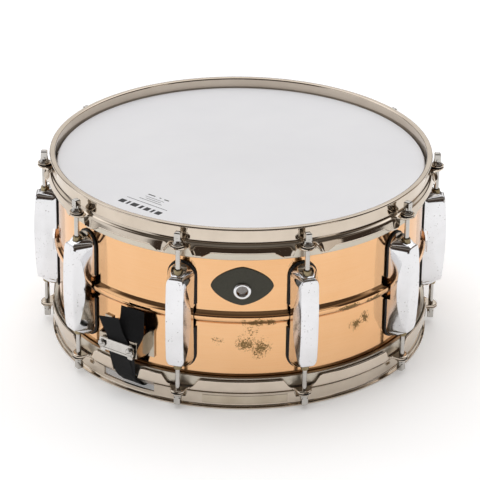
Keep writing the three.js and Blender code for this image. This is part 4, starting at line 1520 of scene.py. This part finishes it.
def make_throwoff():
    """Throw-off: base, slide with its clamp, lever, pin and tension knob."""
    outline = rounded([(-15, -34), (15, -34), (15, 34), (-15, 34)], 5.0, 6)
    base = make("throw_base", prism(outline, 178.6, 186.0, "out"), THROW)
    for side in (-1, 1):
        edges = sorted((side * 9.4, side * 15))
        rail = rounded([(185, -33.5), (192.6, -33.5), (192.6, -3), (186, 3), (185, 3)], 1.2, 4)
        cut(base, prism(rail, edges[0], edges[1], "across"), THROW, union=True)
    post = [(185, 3), (196, 6.5), (199, 9), (199, 15), (190, 21), (190, 33.5), (185, 33.5)]
    cut(base, prism(rounded(post, 1.6, 4), -8.5, 8.5, "across"), THROW, union=True)
    cut(base, ring_sector(150, 182.6, -8, 8, -6.8, 6.8, 24), THROW)
    bore = [(0, 21.5), (2.4, 21.5), (2.4, 40), (0, 40)]
    cut(base, spin_upright(bore, 20, KNOB_AXIS), THROW)
    cut(base, spin_across([(0, -20), (2.4, -20), (2.4, 20), (0, 20)], *LEVER_PIVOT), THROW)
    softened(base, 0.7, 3, 35)
    finished(base, FINISH["chrome"], "drum", ["throwoff_base"])

    foot = [(-20, -50), (20, -50), (20, -36), (9, -36), (9, -5), (-9, -5), (-9, -36), (-20, -36)]
    slide = make("throw_slide", prism(rounded(foot, 2.0, 5), 186.3, 193.0, "out"), THROW)
    window = rounded([(-4, -28), (4, -28), (4, -12), (-4, -12)], 2.5, 5)
    cut(slide, prism(window, 190.6, 195, "out"), THROW)
    for side in (-1, 1):
        bore = [(0, 185), (2.0, 185), (2.0, 195), (0, 195)]
        cut(slide, spin_outward(bore, side * CLAMP_SCREW_ACROSS, -43, 16), THROW)
    softened(slide, 0.6, 3, 35)
    finished(slide, FINISH["steel"], "throwoff_carriage", ["throwoff_carriage"])
    stands_for = ["throwoff_clamp_plate"]
    clamp_plate("throw_clamp", 194.5, -49, -37, THROW, "throwoff_carriage", stands_for)
    for side, sign in (("left", -1), ("right", 1)):
        clamp_screw(
            187,
            197.0,
            sign * CLAMP_SCREW_ACROSS,
            -43,
            THROW,
            f"throw_screw_{side}",
            "throwoff_carriage",
            [f"throwoff_clamp_screw_{side}"],
        )

    lever = None
    for side in (-1, 1):
        edges = sorted((side * 9.2, side * 14.2))
        arm = rounded([(192.6, 12), (192.8, 46), (197.6, 46), (197.4, 12)], 1.0, 3)
        eye = [(0, edges[0]), (4.6, edges[0]), (4.6, edges[1]), (0, edges[1])]
        for part in (prism(arm, edges[0], edges[1], "across"), spin_across(eye, *LEVER_PIVOT, 28)):
            if lever is None:
                lever = make("throw_lever", part, THROW)
            else:
                cut(lever, part, THROW, union=True)
    grip = [(192.8, 43), (197.4, 43), (198.0, 50), (199.6, 57)]
    grip += [(202.0, 62), (200.6, 64), (197.6, 61.6), (194.2, 56)]
    cut(lever, prism(rounded(grip, 1.6, 4), -14.2, 14.2, "across"), THROW, union=True)
    for height in (47.5, 50.5, 53.5):
        groove = [(0, -11), (0.7, -11), (0.7, 11), (0, 11)]
        cut(lever, spin_across(groove, 198.2 + (height - 47.5) * 0.16, height, 12), THROW)
    cut(lever, spin_across([(0, -20), (2.3, -20), (2.3, 20), (0, 20)], *LEVER_PIVOT), THROW)
    softened(lever, 0.7, 3, 35)
    finished(lever, FINISH["chrome"], "throwoff_lever", ["throwoff_lever"])

    pin = [(0, -15.9), (2.6, -15.9), (3.3, -15.5), (3.3, -14.5), (2.0, -14.5)]
    pin = [*pin, *[(p, -u) for p, u in pin[::-1]]]
    made = make("throw_pin", spin_across(pin, *LEVER_PIVOT), THROW)
    finished(made, FINISH["steel"], "drum", ["throwoff_pivot_pin"])

    wheel = []
    for z, share in ((35.5, 0.9), (36.2, 1.0), (42.6, 1.0), (43.3, 0.92), (43.5, 0.8)):
        ring = []
        for i in range(72):
            angle = 2 * math.pi * i / 72
            radius = (5.75 + 0.25 * math.cos(angle * 18)) * share
            ring.append((radius * math.cos(angle), KNOB_AXIS + radius * math.sin(angle), z))
        wheel.append(ring)
    points, faces = grid(wheel, False, True)
    last = len(points) - 72
    wheel = (points, [*faces, list(range(72)), [last + i for i in range(72)]])
    stud = [(0, 22), (1.7, 22), (1.9, 22.6), (1.9, 36), (0, 36)]
    knob = make("throw_knob", joined(wheel, spin_upright(stud, 20, KNOB_AXIS)), THROW)
    finished(
        knob, FINISH["chrome"], "throwoff_tension_knob", ["throwoff_tension_knob"]
    )
    for level, height in THROW_FIXINGS.items():
        name = f"throw_fixing_screw_{level}"
        inside_screw(name, height, 183.4, THROW, f"throwoff_mounting_screw_{level}")


def make_snare_wires():
    """Twenty coiled strands soldered to two end plates."""
    strands = from_tree(
        "strands",
        TREES["coil"],
        strands=20,
        pitch=0.00205,
        turns=112.0,
        coil_radius=0.00055,
        wire_radius=0.00019,
        length=0.28,
        height=(MID_HEIGHT - 84.85) * MM,
        angle=math.radians(THROW),
        material=FINISH["wire"],
    )
    plates = []
    for side in (0, 180):
        outline = rounded([(-21, 138), (21, 138), (21, 150), (-21, 150)], 2.2, 5)
        plate = make("wire_plate", prism(outline, -84.75, -83.9, "up"), THROW + side)
        for across in (-12, 0, 12):
            hole = [(0, -90), (1.3, -90), (1.3, -80), (0, -80)]
            cut(plate, spin_upright(hole, 14, 146.5, across), THROW + side)
        plates.append(softened(plate, 0.2, 2, 40))
    whole = merged("snare_wire_set", [strands, *plates])
    finished(whole, FINISH["wire"], "snare_wires", ["snare_wires"], 40)


# --------------------------------------------------------------- light and floor

# Soft boxes as (azimuth, half angle, low, high, colour), low and high as sines.
SOFTBOXES = [
    (-86, 36, 0.0, 0.62, (0.95, 0.96, 0.98)),
    (52, 7, 0.05, 0.5, (0.85, 0.80, 0.74)),
    (180, 60, 0.2, 0.62, (0.9, 0.89, 0.88)),
    (112, 16, 0.0, 0.35, (0.34, 0.27, 0.2)),
]


def set_studio():
    """White floor, and a dark room with soft boxes and one overhead light."""
    steps = 64
    angles = [2 * math.pi * i / steps for i in range(steps)]
    points = [(9 * math.cos(a), 9 * math.sin(a), -0.0002) for a in angles]
    data = bpy.data.meshes.new("floor")
    data.from_pydata(points, [], [list(range(steps))])
    floor = bpy.data.objects.new("floor", data)
    bpy.context.scene.collection.objects.link(floor)
    paper = bpy.data.materials.new("pale_floor")
    paper.use_nodes = True
    shader = paper.node_tree.nodes["Principled BSDF"]
    shader.inputs["Base Color"].default_value = (0.92, 0.92, 0.92, 1)
    shader.inputs["Roughness"].default_value = 0.9
    shader.inputs["Specular IOR Level"].default_value = 0.1
    shader.inputs["Emission Color"].default_value = (1, 1, 1, 1)
    shader.inputs["Emission Strength"].default_value = 0.22
    data.materials.append(paper)

    world = bpy.data.worlds.new("studio")
    bpy.context.scene.world = world
    world.use_nodes = True
    tree = world.node_tree
    way = tree.nodes.new("ShaderNodeTexCoord").outputs["Generated"]
    height = node(tree, "ShaderNodeSeparateXYZ", {0: way}).outputs[2]
    ramp = node(tree, "ShaderNodeValToRGB", {0: height})
    stops = [
        (0.0, (0.93, 0.93, 0.93)),
        (0.012, (0.05, 0.036, 0.028)),
        (0.50, (0.06, 0.045, 0.036)),
        (0.56, (0.26, 0.23, 0.2)),
        (0.64, (0.26, 0.23, 0.2)),
        (0.70, (0.05, 0.038, 0.03)),
        (0.86, (0.10, 0.09, 0.08)),
        (1.0, (0.22, 0.21, 0.2)),
    ]
    bands = ramp.color_ramp.elements
    while len(bands) < len(stops):
        bands.new(0.5)
    for band, (spot, colour) in zip(bands, stops):
        band.position = spot
        band.color = (*colour, 1)
    level = node(
        tree, "ShaderNodeVectorMath", {0: way, 1: (1, 1, 0)}, operation="MULTIPLY"
    ).outputs[0]
    level = node(tree, "ShaderNodeVectorMath", {0: level}, operation="NORMALIZE").outputs[0]
    colour = ramp.outputs[0]
    depth = node(tree, "ShaderNodeSeparateXYZ", {0: way}).outputs[1]
    roof = maths(
        tree, "MULTIPLY", mapped(tree, depth, 0.05, 0.3), mapped(tree, height, 0.5, 0.62)
    )
    colour = blended(tree, roof, colour, (1.5, 1.5, 1.52, 1))
    for azimuth, half, low, high, shine in SOFTBOXES:
        a = math.radians(azimuth)
        face = node(
            tree,
            "ShaderNodeVectorMath",
            {0: level, 1: (math.sin(a), -math.cos(a), 0)},
            operation="DOT_PRODUCT",
        ).outputs["Value"]
        edge = math.cos(math.radians(half))
        inner = math.cos(math.radians(half * 0.8))
        box = maths(
            tree,
            "MULTIPLY",
            mapped(tree, face, edge, inner),
            maths(
                tree,
                "MULTIPLY",
                mapped(tree, height, low, low + 0.05),
                mapped(tree, height, high, high - 0.08),
            ),
        )
        colour = blended(tree, box, colour, (*shine, 1))
    back = tree.nodes["Background"]
    tree.links.new(colour, back.inputs[0])
    back.inputs[1].default_value = 1.0

    lamp = bpy.data.lights.new("overhead_light", "AREA")
    lamp.shape = "RECTANGLE"
    lamp.size, lamp.size_y = 3.4, 3.4
    lamp.energy = 78
    light = bpy.data.objects.new("overhead_light", lamp)
    light.location = (-0.3, -0.7, 4.0)
    aim = Vector((0, 0, 0.1)) - light.location
    light.rotation_euler = aim.to_track_quat("-Z", "Y").to_euler()
    light.visible_camera = False
    light.visible_glossy = False
    bpy.context.scene.collection.objects.link(light)
    bpy.context.scene.view_settings.view_transform = "Standard"


FINISH = {
    "bronze": bronze_finish(),
    "nickel": plated("nickel_plate", (0.655, 0.57, 0.475), (0.58, 0.50, 0.41), 0.06, 0.0),
    # The rods' plating colour is set darker than the other bright plating to paint in the dark
    # reflections the rods show: painted reflection, not the plating's own colour.
    "rod": plated("rod_nickel", (0.56, 0.54, 0.51), (0.44, 0.42, 0.39), 0.12, 0.4),
    "chrome": plated("chrome_plate", (0.80, 0.80, 0.81), (0.72, 0.72, 0.72), 0.07, 0.3),
    "chrome_worn": plated("pitted_chrome", (0.80, 0.80, 0.815), (0.73, 0.73, 0.74), 0.08, 1.0),
    "bracket": plated("bracket_plate", (0.5, 0.44, 0.36), (0.40, 0.35, 0.28), 0.14, 0.8),
    "chrome_rough": plated("stamped_chrome", (0.62, 0.60, 0.57), (0.48, 0.46, 0.43), 0.2, 1.0, 0.6),
    "steel": plated("zinc_steel", (0.58, 0.56, 0.53), (0.42, 0.40, 0.37), 0.22, 0.8),
    "wire": plated("wire_steel", (0.60, 0.60, 0.60), (0.46, 0.45, 0.44), 0.2, 0.3),
    "brass": plated("nut_brass", (0.33, 0.27, 0.16), (0.20, 0.15, 0.08), 0.3, 0.6),
    "aluminium": aluminium_finish(),
    "coated": coated_film_finish(),
    "clear": clear_film_finish(),
    "paint": paint_finish(),
    "ribbon": ribbon_finish(),
    "rubber": rubber_finish("gasket_rubber", (0.004, 0.004, 0.004), 0.6),
    "ink": rubber_finish("head_ink", (0.03, 0.03, 0.032), 0.7),
    "label": plated("label_foil", (0.62, 0.54, 0.43), (0.56, 0.48, 0.37), 0.3, 0.0, 0.2),
}
TREES = {"ring": ring_tree(), "coil": coil_tree(), "thread": thread_tree()}

set_camera()
make_shell()
make_heads()
make_head_print()
make_hoops()
make_lugs()
make_rods()
make_badge()
make_butt()
make_butt_straps()
make_throwoff()
make_throw_strap()
make_snare_wires()
set_studio()
